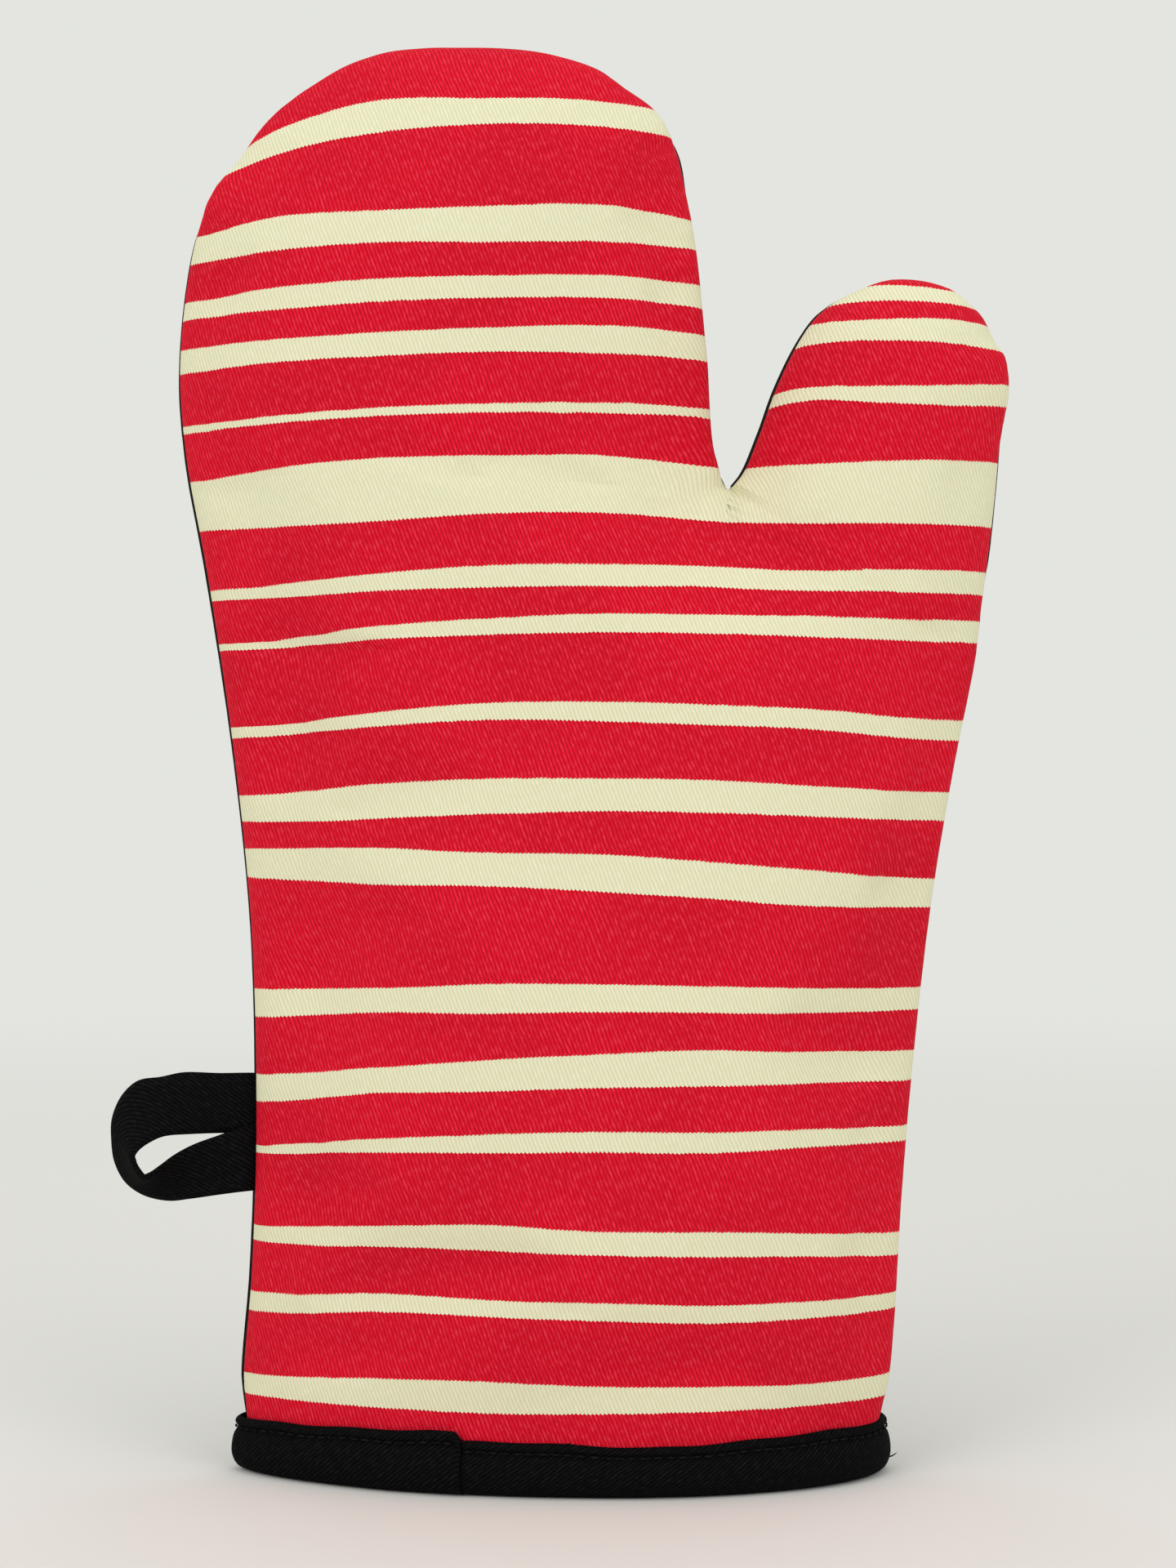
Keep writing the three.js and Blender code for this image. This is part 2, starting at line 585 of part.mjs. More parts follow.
// Each seam is one thread, made in five stretches that stop either side of the folds. The cuts
// are found on the thread's own path, so no stretch reaches into the section beyond its fold.
const SEAMS = { side_seam: THREAD.seamInset, lining_seam: THREAD.liningInset };
const NEAR_CROTCH = { before: 0.995, after: 0.02 };
for (const [seam, inset] of Object.entries(SEAMS)) {
  const fingerCut = (from, to) => atFold(fingerSide, from, to, inset, fingerOrigin, fingerWay);
  const thumbCut = (from, to) => atFold(thumbSide, from, to, inset, thumbOrigin, thumbWay);
  const [shoulderL, shoulderR] = FINGER_SHOULDERS.map((i) => atIndex(FINGER_SIDE, i));
  const [thumbL, thumbR] = THUMB_SHOULDERS.map((i) => atIndex(THUMB_SIDE, i));
  const [foldL, foldR] = [fingerCut(0, shoulderL), fingerCut(shoulderR, 1)];
  const [rootL, rootR] = [thumbCut(0, thumbL), thumbCut(thumbR, atIndex(THUMB_SIDE, THUMB_BASE))];
  const start = atHeight(fingerSide, THREAD.lowest, 0, shoulderL);
  const end = atHeight(thumbSide, THREAD.lowest, thumbR, 1);
  const gap = THREAD.fromFold;
  const stretch = (curve, from, to, steps) => seamThread(curve, from, to, inset, steps);
  const stretches = {
    left: stretch(fingerSide, start, foldL - gap, 20),
    fingers: stretch(fingerSide, foldL + gap, foldR - gap, 24),
    crotch: [
      ...stretch(fingerSide, foldR + gap, NEAR_CROTCH.before, 6),
      seamPoint(fingerSide, 1, inset),
      ...stretch(thumbSide, NEAR_CROTCH.after, rootL - gap, 4),
    ],
    thumb: stretch(thumbSide, rootL + gap, rootR - gap, 18),
    right: stretch(thumbSide, rootR + gap, end, 18),
  };
  for (const [name, points] of Object.entries(stretches)) {
    addPiece(`${seam}_thread_${name}`, thread(points), COLOURS.thread);
  }
}

export default mitt;
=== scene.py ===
"""An oven mitt standing on its open cuff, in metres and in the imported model's frame.

Two mitten-shaped halves, printed twill in front and plain black twill behind, meet at a side seam.
Shapes are worked out in millimetres as whole arrays and turned into metres when a piece is made.
"""

import logging
import math
from dataclasses import dataclass, field
from enum import Enum

import bpy
import numpy as np
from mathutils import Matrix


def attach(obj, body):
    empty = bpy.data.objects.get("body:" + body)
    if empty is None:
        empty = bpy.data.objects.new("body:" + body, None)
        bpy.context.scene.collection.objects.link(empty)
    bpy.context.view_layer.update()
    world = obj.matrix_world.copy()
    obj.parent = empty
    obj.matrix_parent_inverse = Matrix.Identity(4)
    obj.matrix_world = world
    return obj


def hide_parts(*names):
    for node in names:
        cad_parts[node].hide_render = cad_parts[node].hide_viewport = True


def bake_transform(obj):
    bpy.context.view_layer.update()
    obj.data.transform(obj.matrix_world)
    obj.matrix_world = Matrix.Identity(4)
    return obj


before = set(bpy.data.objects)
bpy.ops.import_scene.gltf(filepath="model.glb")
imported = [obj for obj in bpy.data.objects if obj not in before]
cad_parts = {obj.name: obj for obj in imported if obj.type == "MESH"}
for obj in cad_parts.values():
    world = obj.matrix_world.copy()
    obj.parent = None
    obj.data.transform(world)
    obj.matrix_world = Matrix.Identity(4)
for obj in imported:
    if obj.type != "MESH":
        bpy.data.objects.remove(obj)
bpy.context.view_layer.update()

log = logging.getLogger("oven_mitt")
MM = 0.001
Colour = tuple[float, float, float]
Socket = bpy.types.NodeSocket
Value = Socket | float
Tint = Socket | Colour


# ---- small tools for arrays -----------------------------------------------------------------


def smoothstep(value: np.ndarray, low: float, high: float) -> np.ndarray:
    """0 below low, 1 above high, and an even rise between them."""
    t = np.clip((value - low) / (high - low), 0.0, 1.0)
    return t * t * (3.0 - 2.0 * t)


def blend(a: np.ndarray, b: np.ndarray, share: np.ndarray) -> np.ndarray:
    """a where share is 0 and b where it is 1."""
    return a + (b - a) * share


def unit(vectors: np.ndarray) -> np.ndarray:
    """The same directions with length one."""
    length = np.linalg.norm(vectors, axis=-1, keepdims=True)
    return vectors / np.maximum(length, 1e-9)


class Spline:
    """A centripetal Catmull-Rom curve through points, numbered 0, 1, 2 ... along its way."""

    def __init__(self, points: list[tuple[float, ...]]) -> None:
        """Keeps the points with one more beyond each end.

        Args:
            points: the points, each a pair or a triple of numbers.
        """
        inner = np.array(points, float)
        first = 2 * inner[0] - inner[1]
        last = 2 * inner[-1] - inner[-2]
        self.points = np.vstack([first, inner, last])
        self.spans = len(inner) - 1

    def at(self, t: np.ndarray) -> np.ndarray:
        """Points of the curve.

        Args:
            t: places along it, where a whole number is one of the points it was made from.

        Returns:
            One point for each place.
        """
        t = np.asarray(t, float)
        i = np.clip(np.floor(t).astype(int), 0, self.spans - 1)
        f = (t - i)[..., None]
        p0, p1, p2, p3 = (self.points[i + k] for k in range(4))
        d0, d1, d2 = (
            np.sqrt(np.maximum(np.linalg.norm(b - a, axis=-1), 1e-6))[..., None]
            for a, b in ((p0, p1), (p1, p2), (p2, p3))
        )
        m1 = ((p1 - p0) / d0 - (p2 - p0) / (d0 + d1) + (p2 - p1) / d1) * d1
        m2 = ((p2 - p1) / d1 - (p3 - p1) / (d1 + d2) + (p3 - p2) / d2) * d1
        f2, f3 = f * f, f * f * f
        return (
            (2 * f3 - 3 * f2 + 1) * p1
            + (f3 - 2 * f2 + f) * m1
            + (3 * f2 - 2 * f3) * p2
            + (f3 - f2) * m2
        )

    def direction(self, t: np.ndarray) -> np.ndarray:
        """The way the curve runs at each place."""
        t = np.asarray(t, float)
        step = 0.01
        low, high = np.clip(t - step, 0, self.spans), np.clip(t + step, 0, self.spans)
        return unit(self.at(high) - self.at(low))


def refine(grid: np.ndarray) -> np.ndarray:
    """A grid with a new point halfway between all neighbours, on smooth curves through them."""
    for axis in (0, 1):
        g = np.moveaxis(grid, axis, 0)
        before = np.concatenate([g[:1], g[:-2]])
        after = np.concatenate([g[2:], g[-1:]])
        middle = (9 * (g[:-1] + g[1:]) - before - after) / 16
        out = np.empty((2 * len(g) - 1, *g.shape[1:]))
        out[0::2], out[1::2] = g, middle
        grid = np.moveaxis(out, 0, axis)
    return grid


def grid_quads(index: np.ndarray, turned: bool) -> np.ndarray:
    """The faces of a grid of vertex numbers.

    Args:
        index: the vertex number at each place of the grid.
        turned: whether the faces look the other way.

    Returns:
        One row of four vertex numbers for each face.
    """
    a, b = index[:-1, :-1], index[:-1, 1:]
    c, d = index[1:, 1:], index[1:, :-1]
    quads = np.stack([a, d, c, b] if turned else [a, b, c, d], -1)
    return quads.reshape(-1, 4)


# ---- making pieces --------------------------------------------------------------------------


@dataclass
class Surface:
    """A mesh before it is a piece: points in millimetres, faces, and what is known of each point."""

    points: np.ndarray
    quads: np.ndarray
    flat: np.ndarray | None = None
    normals: np.ndarray | None = None
    values: dict[str, np.ndarray] = field(default_factory=dict)

    def piece(self, name: str, material: bpy.types.Material) -> bpy.types.Object:
        """Makes the mesh and its object.

        Args:
            name: the piece's name.
            material: what it is made of.

        Returns:
            The new object, at the origin.
        """
        mesh = bpy.data.meshes.new(name)
        mesh.from_pydata(self.points * MM, [], self.quads.tolist())
        mesh.polygons.foreach_set("use_smooth", np.ones(len(mesh.polygons), bool))
        if self.flat is not None:
            corner = np.empty(len(mesh.loops), int)
            mesh.loops.foreach_get("vertex_index", corner)
            layer = mesh.uv_layers.new(name="cloth")
            layer.data.foreach_set("uv", (self.flat[corner] * MM).ravel())
        for label, value in self.values.items():
            attribute = mesh.attributes.new(label, "FLOAT", "POINT")
            attribute.data.foreach_set("value", value.astype(np.float32))
        if self.normals is not None:
            mesh.normals_split_custom_set_from_vertices(self.normals.tolist())
        mesh.validate()
        mesh.materials.append(material)
        made = bpy.data.objects.new(name, mesh)
        bpy.context.collection.objects.link(made)
        log.info("%s: %d faces", name, len(mesh.polygons))
        return made


def closed_sheet(
    outer: np.ndarray, inner: np.ndarray, turned: bool = False
) -> tuple[np.ndarray, np.ndarray]:
    """A sheet with two faces and a rim all round, from a grid of points for each face.

    Args:
        outer: the points of one face, as rows and columns.
        inner: the points of the other, matching them one to one.
        turned: whether the outer grid's faces look the other way.

    Returns:
        The points as one list, and the faces.
    """
    rows, columns = outer.shape[:2]
    index = np.arange(rows * columns).reshape(rows, columns)
    loop = np.concatenate([index[0, :-1], index[:-1, -1], index[-1, :0:-1], index[:0:-1, 0]])
    after = np.roll(loop, -1)
    count = rows * columns
    rim = np.stack([loop, loop + count, after + count, after], -1)
    quads = np.vstack([
        grid_quads(index, turned),
        grid_quads(index + count, not turned),
        rim[:, ::-1] if turned else rim,
    ])
    return np.vstack([outer.reshape(-1, 3), inner.reshape(-1, 3)]), quads


# ---- finishes -------------------------------------------------------------------------------


class Graph:
    """A material's shader nodes, added and joined a step at a time."""

    def __init__(self, name: str) -> None:
        """Starts a material with its main shader."""
        self.material = bpy.data.materials.new(name)
        self.material.use_nodes = True
        self.tree = self.material.node_tree
        self.shader = self.tree.nodes["Principled BSDF"]

    def node(self, kind: str, inputs: dict | None = None, **settings) -> bpy.types.Node:
        """Adds a node.

        Args:
            kind: the node's type.
            inputs: a value or an output for each named or numbered input.
            settings: the node's own settings.

        Returns:
            The node.
        """
        made = self.tree.nodes.new(kind)
        for key, value in settings.items():
            setattr(made, key, value)
        for key, value in (inputs or {}).items():
            self.join(value, made.inputs[key])
        return made

    def join(self, value: Value | Tint, socket: Socket) -> None:
        """Joins an output to an input, or sets the input to a plain value."""
        if isinstance(value, Socket):
            self.tree.links.new(value, socket)
        else:
            socket.default_value = value

    def math(self, operation: str, a: Value, b: Value = 0.0, c: Value = 0.0) -> Socket:
        """One sum, product or other step of arithmetic."""
        return self.node("ShaderNodeMath", {0: a, 1: b, 2: c}, operation=operation).outputs[0]

    def mix(self, share: Value, a: Tint, b: Tint) -> Socket:
        """Mixes two colours.

        Args:
            share: how much of the second to show.
            a: the colour where the share is 0.
            b: the colour where it is 1.

        Returns:
            The mixed colour.
        """
        made = self.node("ShaderNodeMix", {"Factor": share}, data_type="RGBA")
        for value, place in ((a, 6), (b, 7)):
            full = (*value, 1.0) if isinstance(value, tuple) else value
            self.join(full, made.inputs[place])
        return made.outputs[2]

    def noise(self, vector: Socket, scale: float, detail: float = 2.0) -> Socket:
        """Smooth random values from 0 to 1."""
        settings = {"Vector": vector, "Scale": scale, "Detail": detail}
        return self.node("ShaderNodeTexNoise", settings).outputs[0]

    def ramp(
        self, value: Value, low: float, high: float, to_low: float = 0.0, to_high: float = 1.0
    ) -> Socket:
        """A value carried from one range to another, and kept inside it.

        Args:
            value: the value.
            low: where the first range starts.
            high: where it ends.
            to_low: where the second range starts.
            to_high: where it ends.

        Returns:
            The new value.
        """
        made = self.node(
            "ShaderNodeMapRange",
            {0: value, 1: low, 2: high, 3: to_low, 4: to_high},
            interpolation_type="SMOOTHSTEP",
        )
        return made.outputs[0]

    def cloth(self) -> tuple[Socket, Socket]:
        """The cloth's own flat coordinates, in millimetres."""
        place = self.node("ShaderNodeUVMap", uv_map="cloth").outputs[0]
        split = self.node("ShaderNodeSeparateXYZ", {0: place})
        return tuple(self.math("MULTIPLY", split.outputs[k], 1 / MM) for k in (0, 1))

    def pair(self, x: Value, y: Value) -> Socket:
        """A vector from two values."""
        return self.node("ShaderNodeCombineXYZ", {0: x, 1: y}).outputs[0]

    def finish(
        self, colour: Tint, roughness: float, gloss: float, height: Socket | None = None,
        depth: float = 0.0,
    ) -> bpy.types.Material:
        """Joins everything to the main shader.

        Args:
            colour: the surface colour.
            roughness: how matt it is.
            gloss: how strongly it mirrors the light.
            height: the height of the surface's grain, from 0 to 1.
            depth: how deep that grain is, in metres.

        Returns:
            The material.
        """
        self.join(colour, self.shader.inputs["Base Color"])
        self.shader.inputs["Roughness"].default_value = roughness
        self.shader.inputs["Specular IOR Level"].default_value = gloss
        if height is not None:
            bump = self.node("ShaderNodeBump", {"Height": height, "Distance": depth})
            bump.inputs["Strength"].default_value = 1.0
            self.join(bump.outputs[0], self.shader.inputs["Normal"])
        return self.material


class Wales(Enum):
    """Which way a twill's diagonal lines run, in degrees from the cloth's length."""

    STEEP = 21.0
    SHALLOW = 52.0


@dataclass(frozen=True)
class Twill:
    """Cotton twill: fine diagonal lines, each made of short floats of thread.

    The lines are a sine across their own direction, bent a little by noise. The floats are a
    second sine along it. The low threads in the valleys are coloured darker as painted shade,
    and pale flecks on the raised threads are painted highlight.
    """

    name: str
    yarn: Colour
    # the valleys' colour is painted shade; the next colour is painted highlight on raised threads,
    # also used for lint
    shaded_valley: Colour
    highlight_and_lint: Colour
    wales: Wales = Wales.STEEP
    pitch: float = 0.84
    waviness: float = 0.9
    floats_per_mm: float = 1.5
    float_relief: float = 0.2
    relief: float = 0.0001
    highlight_share: float = 0.75
    lint: float = 0.0
    roughness: float = 0.85
    gloss: float = 0.1

    def wale_phase(self, graph: Graph, u: Socket, v: Socket) -> Socket:
        """How far a place is across the diagonal lines.

        Args:
            graph: the material's nodes.
            u: the cloth's place across, in millimetres.
            v: its place along.

        Returns:
            The distance, counted in lines.
        """
        angle = math.radians(self.wales.value)
        bent = graph.noise(graph.pair(u, v), 0.12, 1.0)
        across = graph.math(
            "ADD",
            graph.math("MULTIPLY", u, math.cos(angle) / self.pitch),
            graph.math("MULTIPLY", v, math.sin(angle) / self.pitch),
        )
        return graph.math("ADD", across, graph.math("MULTIPLY", bent, self.waviness))

    def wave(self, graph: Graph, phase: Socket) -> Socket:
        """A sine from 0 to 1 that comes round once for each whole number."""
        turn = graph.math("MULTIPLY", phase, 2.0 * math.pi)
        return graph.math("MULTIPLY_ADD", graph.math("SINE", turn), 0.5, 0.5)

    def dye(self, graph: Graph, phase: Socket, u: Socket, v: Socket) -> tuple[Tint, Tint, Tint]:
        """The colours of the yarn, of the valleys' painted shade and of the raised threads' painted
        highlights, which lint specks also use.
        """
        return self.yarn, self.shaded_valley, self.highlight_and_lint

    def material(self) -> bpy.types.Material:
        """Builds the material."""
        graph = Graph(self.name)
        u, v = graph.cloth()
        phase = self.wale_phase(graph, u, v)
        wale = self.wave(graph, phase)
        angle = math.radians(self.wales.value)
        along = graph.math(
            "SUBTRACT",
            graph.math("MULTIPLY", v, math.cos(angle)),
            graph.math("MULTIPLY", u, math.sin(angle)),
        )
        floats = graph.math("ADD", graph.math("MULTIPLY", along, self.floats_per_mm), phase)
        grain = graph.math(
            "MULTIPLY_ADD", self.wave(graph, floats), self.float_relief, 1.0 - self.float_relief
        )
        height = graph.math("MULTIPLY", graph.math("POWER", wale, 0.7), grain)
        yarn, shaded_valley, highlight_and_lint = self.dye(graph, phase, u, v)
        # painted shade: the colour darkens where the threads lie low, in the valleys between the lines
        colour = graph.mix(graph.ramp(height, 0.0, 0.85), shaded_valley, yarn)
        # painted highlight: pale flecks along the raised threads, strongest where they stand highest
        threads = graph.noise(graph.pair(phase, graph.math("MULTIPLY", along, 0.5)), 1.1, 2.0)
        shown = graph.math("MULTIPLY", graph.ramp(threads, 0.42, 0.72), height)
        colour = graph.mix(graph.math("MULTIPLY", shown, self.highlight_share), colour, highlight_and_lint)
        # lint specks, real loose fibres, in the same pale colour as the painted highlights
        if self.lint:
            specks = graph.noise(graph.pair(u, v), 0.9, 3.0)
            colour = graph.mix(graph.ramp(specks, 0.74, 0.8, 0.0, self.lint), colour, highlight_and_lint)
        return graph.finish(colour, self.roughness, self.gloss, height, self.relief)


@dataclass(frozen=True)
class PrintedTwill(Twill):
    """Twill with a printed stripe wherever the cloth's print height lies in one of the bands."""

    bands: tuple[tuple[float, float], ...] = ()
    stripe_yarn: Colour = (0.765, 0.738, 0.528)
    # the stripe's valley colour is painted shade and its fleck colour painted highlight
    stripe_shaded_valley: Colour = (0.66, 0.655, 0.43)
    stripe_highlight_and_lint: Colour = (0.82, 0.79, 0.62)
    wander: float = 0.4
    tooth: float = 0.26
    patch_shade: float = 0.86

    def dye(self, graph: Graph, phase: Socket, u: Socket, v: Socket) -> tuple[Tint, Tint, Tint]:
        """The ground colours, or the stripe's where a band covers the place.

        The bands' edges wander a little and follow the teeth of the diagonal lines.

        Args:
            graph: the material's nodes.
            phase: how far across the diagonal lines the place is.
            u: the cloth's place across, in millimetres.
            v: its place along.

        Returns:
            The colours of the yarn, of the valleys' painted shade and of the raised threads' painted
            highlights.
        """
        height = graph.node("ShaderNodeAttribute", attribute_name="print_height").outputs[2]
        drift = graph.noise(graph.pair(u, v), 0.35)
        wander = graph.math("MULTIPLY_ADD", drift, self.wander, -self.wander / 2)
        tooth = graph.math("MULTIPLY_ADD", self.wave(graph, phase), self.tooth, -self.tooth / 2)
        height = graph.math("ADD", height, graph.math("ADD", wander, tooth))
        shown = 0.0
        for low, high in self.bands:
            inside = graph.math("COMPARE", height, (low + high) / 2, (high - low) / 2)
            shown = inside if shown == 0.0 else graph.math("MAXIMUM", shown, inside)
        patchy = graph.noise(graph.pair(u, v), 0.03, 3.0)
        deeper = tuple(self.patch_shade * c for c in self.yarn)
        yarn = graph.mix(graph.ramp(patchy, 0.35, 0.65), deeper, self.yarn)
        # the valleys' colours are painted shade and the flecks' colours painted highlight
        return (
            graph.mix(shown, yarn, self.stripe_yarn),
            graph.mix(shown, self.shaded_valley, self.stripe_shaded_valley),
            graph.mix(shown, self.highlight_and_lint, self.stripe_highlight_and_lint),
        )


@dataclass(frozen=True)
class PlainFinish:
    """Matt cloth, fibre or thread whose colour drifts a little from place to place."""

    name: str
    colour: Colour
    other: Colour
    patch_per_mm: float
    roughness: float = 0.9
    gloss: float = 0.1
    relief: float = 0.0002
    other_from: float = 0.35
    other_full: float = 0.68

    def material(self) -> bpy.types.Material:
        """Builds the material."""
        graph = Graph(self.name)
        place = graph.node("ShaderNodeTexCoord").outputs["Object"]
        drift = graph.noise(place, self.patch_per_mm / MM, 3.0)
        share = graph.ramp(drift, self.other_from, self.other_full)
        colour = graph.mix(share, self.colour, self.other)
        return graph.finish(colour, self.roughness, self.gloss, drift, self.relief)


# ---- the outline and its grids --------------------------------------------------------------

CUFF_LEFT, CUFF_RIGHT = -71.6, 72.6
BASE = 14  # the thumb side's point where the thumb's root line ends


@dataclass
class Outline:
    """The mitt's silhouette seen from the front, as (x, z): the finger side, then the thumb side.

    roll says which half's edge is seen from the front at each point: 1 where the back half rolls
    forward and shows, and -1 where the front half rolls back and covers it.
    """

    finger_side: tuple = (
        (CUFF_LEFT, -20), (CUFF_LEFT, 4), (CUFF_LEFT, 13), (-72.1, 21), (-70.3, 45),
        (-69.3, 80), (-70.4, 122), (-74.4, 162), (-80.2, 201), (-85.2, 229), (-86.4, 250),
        (-82.6, 278), (-78.2, 287.5), (-73.5, 294.4), (-63.6, 305.8), (-49, 315.6), (-38.5, 319.2),
        (-20, 320.2), (-3, 319), (9, 315.2), (14.5, 311.4), (22, 306), (27.4, 297.5), (29.4, 288),
        (31.7, 272), (33.8, 250), (35.5, 229), (38.2, 221.9),
    )
    thumb_side: tuple = (
        (38.2, 221.9), (40.7, 225.2), (44.2, 233.7), (48.3, 244.8), (53.9, 255.8), (58.6, 261.6),
        (67, 266.4), (77, 268.2), (86, 266.7), (95.2, 261.4), (98.6, 255.5), (101.4, 247),
        (100.2, 228), (97.9, 206), (94.3, 183), (89.6, 160), (84.2, 128), (80.4, 96), (77.4, 62),
        (75.7, 34), (74.4, 21), (CUFF_RIGHT, 13), (CUFF_RIGHT, 4), (CUFF_RIGHT, -20),
    )
    finger_roll: tuple = (
        0.4, 0.5, 0.6, 0.9, 0.9, 0.9, 0.8, 0.9, 1.0, 0.9, 0.8, 0.8, -0.5, 0.5, -0.4, -0.8, -0.9, -0.9,
        -0.9, -0.9, -0.9, -0.7, 0.6, 0.2, -0.4, -0.8, -0.6, 0.6,
    )
    thumb_roll: tuple = (
        0.4, 0.4, 0.4, 0.35, 0.4, 0.45, 0.35, -0.6, -0.6, 0.8, 0.8, -0.7, 0.8, 0.9, -0.1, -0.4, -0.5,
        -0.6, -0.7, -0.7, -0.7, -0.5, -0.5, -0.5,
    )
    shoulders: tuple = (13, 21)
    thumb_shoulders: tuple = (5, 10)
    left_edge: tuple = (0, 10)
    samples: int = 320
    softness: float = 0.3
    soft_from: float = 8.0
    soft_full: float = 22.0

    def __post_init__(self) -> None:
        """Makes the two curves and a close row of points along both."""
        self.fingers = Spline(self.finger_side)
        self.thumb = Spline(self.thumb_side)
        ways = ((self.fingers, self.finger_roll), (self.thumb, self.thumb_roll))
        points, rolls, outward, lengths = [], [], [], []
        for curve, roll in ways:
            t = np.linspace(0, curve.spans, self.samples)
            along = curve.direction(t)
            points.append(curve.at(t))
            rolls.append(np.interp(t, np.arange(len(roll)), roll))
            outward.append(np.stack([-along[:, 1], along[:, 0]], -1))
            lengths.append(np.linalg.norm(np.gradient(points[-1], axis=0), axis=1))
        self.points = np.vstack(points)
        self.rolls = np.concatenate(rolls)
        self.outward = np.vstack(outward)
        self.lengths = np.concatenate(lengths)

    def place(self, curve: Spline, t: np.ndarray, inset: float) -> np.ndarray:
        """Points of one side, moved in from the edge; the mitt lies to the right of its way.

        Args:
            curve: the side.
            t: places along it.
            inset: how far to move them in, in millimetres.

        Returns:
            The points, as (x, z).
        """
        t = np.asarray(t, float)
        along = curve.direction(t)
        inward = np.stack([along[..., 1], -along[..., 0]], -1)
        crotch = t >= curve.spans - 1e-6 if curve is self.fingers else t <= 1e-6
        inward = np.where(crotch[..., None], np.array([0.0, -1.0]), inward)
        return curve.at(t) + inset * inward

    def at_height(self, curve: Spline, z: np.ndarray, low: float, high: float) -> np.ndarray:
        """Where a stretch of one side that climbs, or falls, passes each height.

        Args:
            curve: the side.
            z: the heights.
            low: the place along it where the stretch starts.
            high: the place where it ends.

        Returns:
            The places along it.
        """
        t = np.linspace(low, high, 500)
        heights = curve.at(t)[:, 1]
        if heights[0] > heights[-1]:
            return np.interp(z, heights[::-1], t[::-1])
        return np.interp(z, heights, t)

    def nearest(self, places: np.ndarray) -> tuple[np.ndarray, np.ndarray, np.ndarray]:
        """The nearest point of the silhouette to each place.

        Far from the edge the distance is a soft minimum over the whole silhouette, which has no
        ridge halfway between two edges: minus the log of the sum of exponentials of minus the
        distances, less what that sum is beside one straight edge.

        Args:
            places: places as (x, z).

        Returns:
            The distance to it, the way out of the mitt there, and its roll.
        """
        flat = places.reshape(-1, 2)
        away = np.hypot(
            flat[:, None, 0] - self.points[None, :, 0], flat[:, None, 1] - self.points[None, :, 1]
        )
        best = away.argmin(1)
        distance = away[np.arange(len(flat)), best]
        for step in (-1, 1):
            start = self.points[best]
            along = self.points[np.clip(best + step, 0, len(self.points) - 1)] - start
            length = np.maximum((along * along).sum(1), 1e-9)
            share = np.clip(((flat - start) * along).sum(1) / length, 0, 1)[:, None]
            distance = np.minimum(distance, np.linalg.norm(flat - start - share * along, axis=1))
        near = np.exp(self.softness * (distance[:, None] - away))
        straight = np.sqrt(2 * np.pi * np.maximum(distance, 1.0) / self.softness)
        soft = distance - np.log((near * self.lengths).sum(1) / straight) / self.softness
        distance = blend(distance, soft, smoothstep(distance, self.soft_from, self.soft_full))
        shape = places.shape[:-1]
        return (
            distance.reshape(shape),
            self.outward[best].reshape(*shape, 2),
            self.rolls[best].reshape(shape),
        )


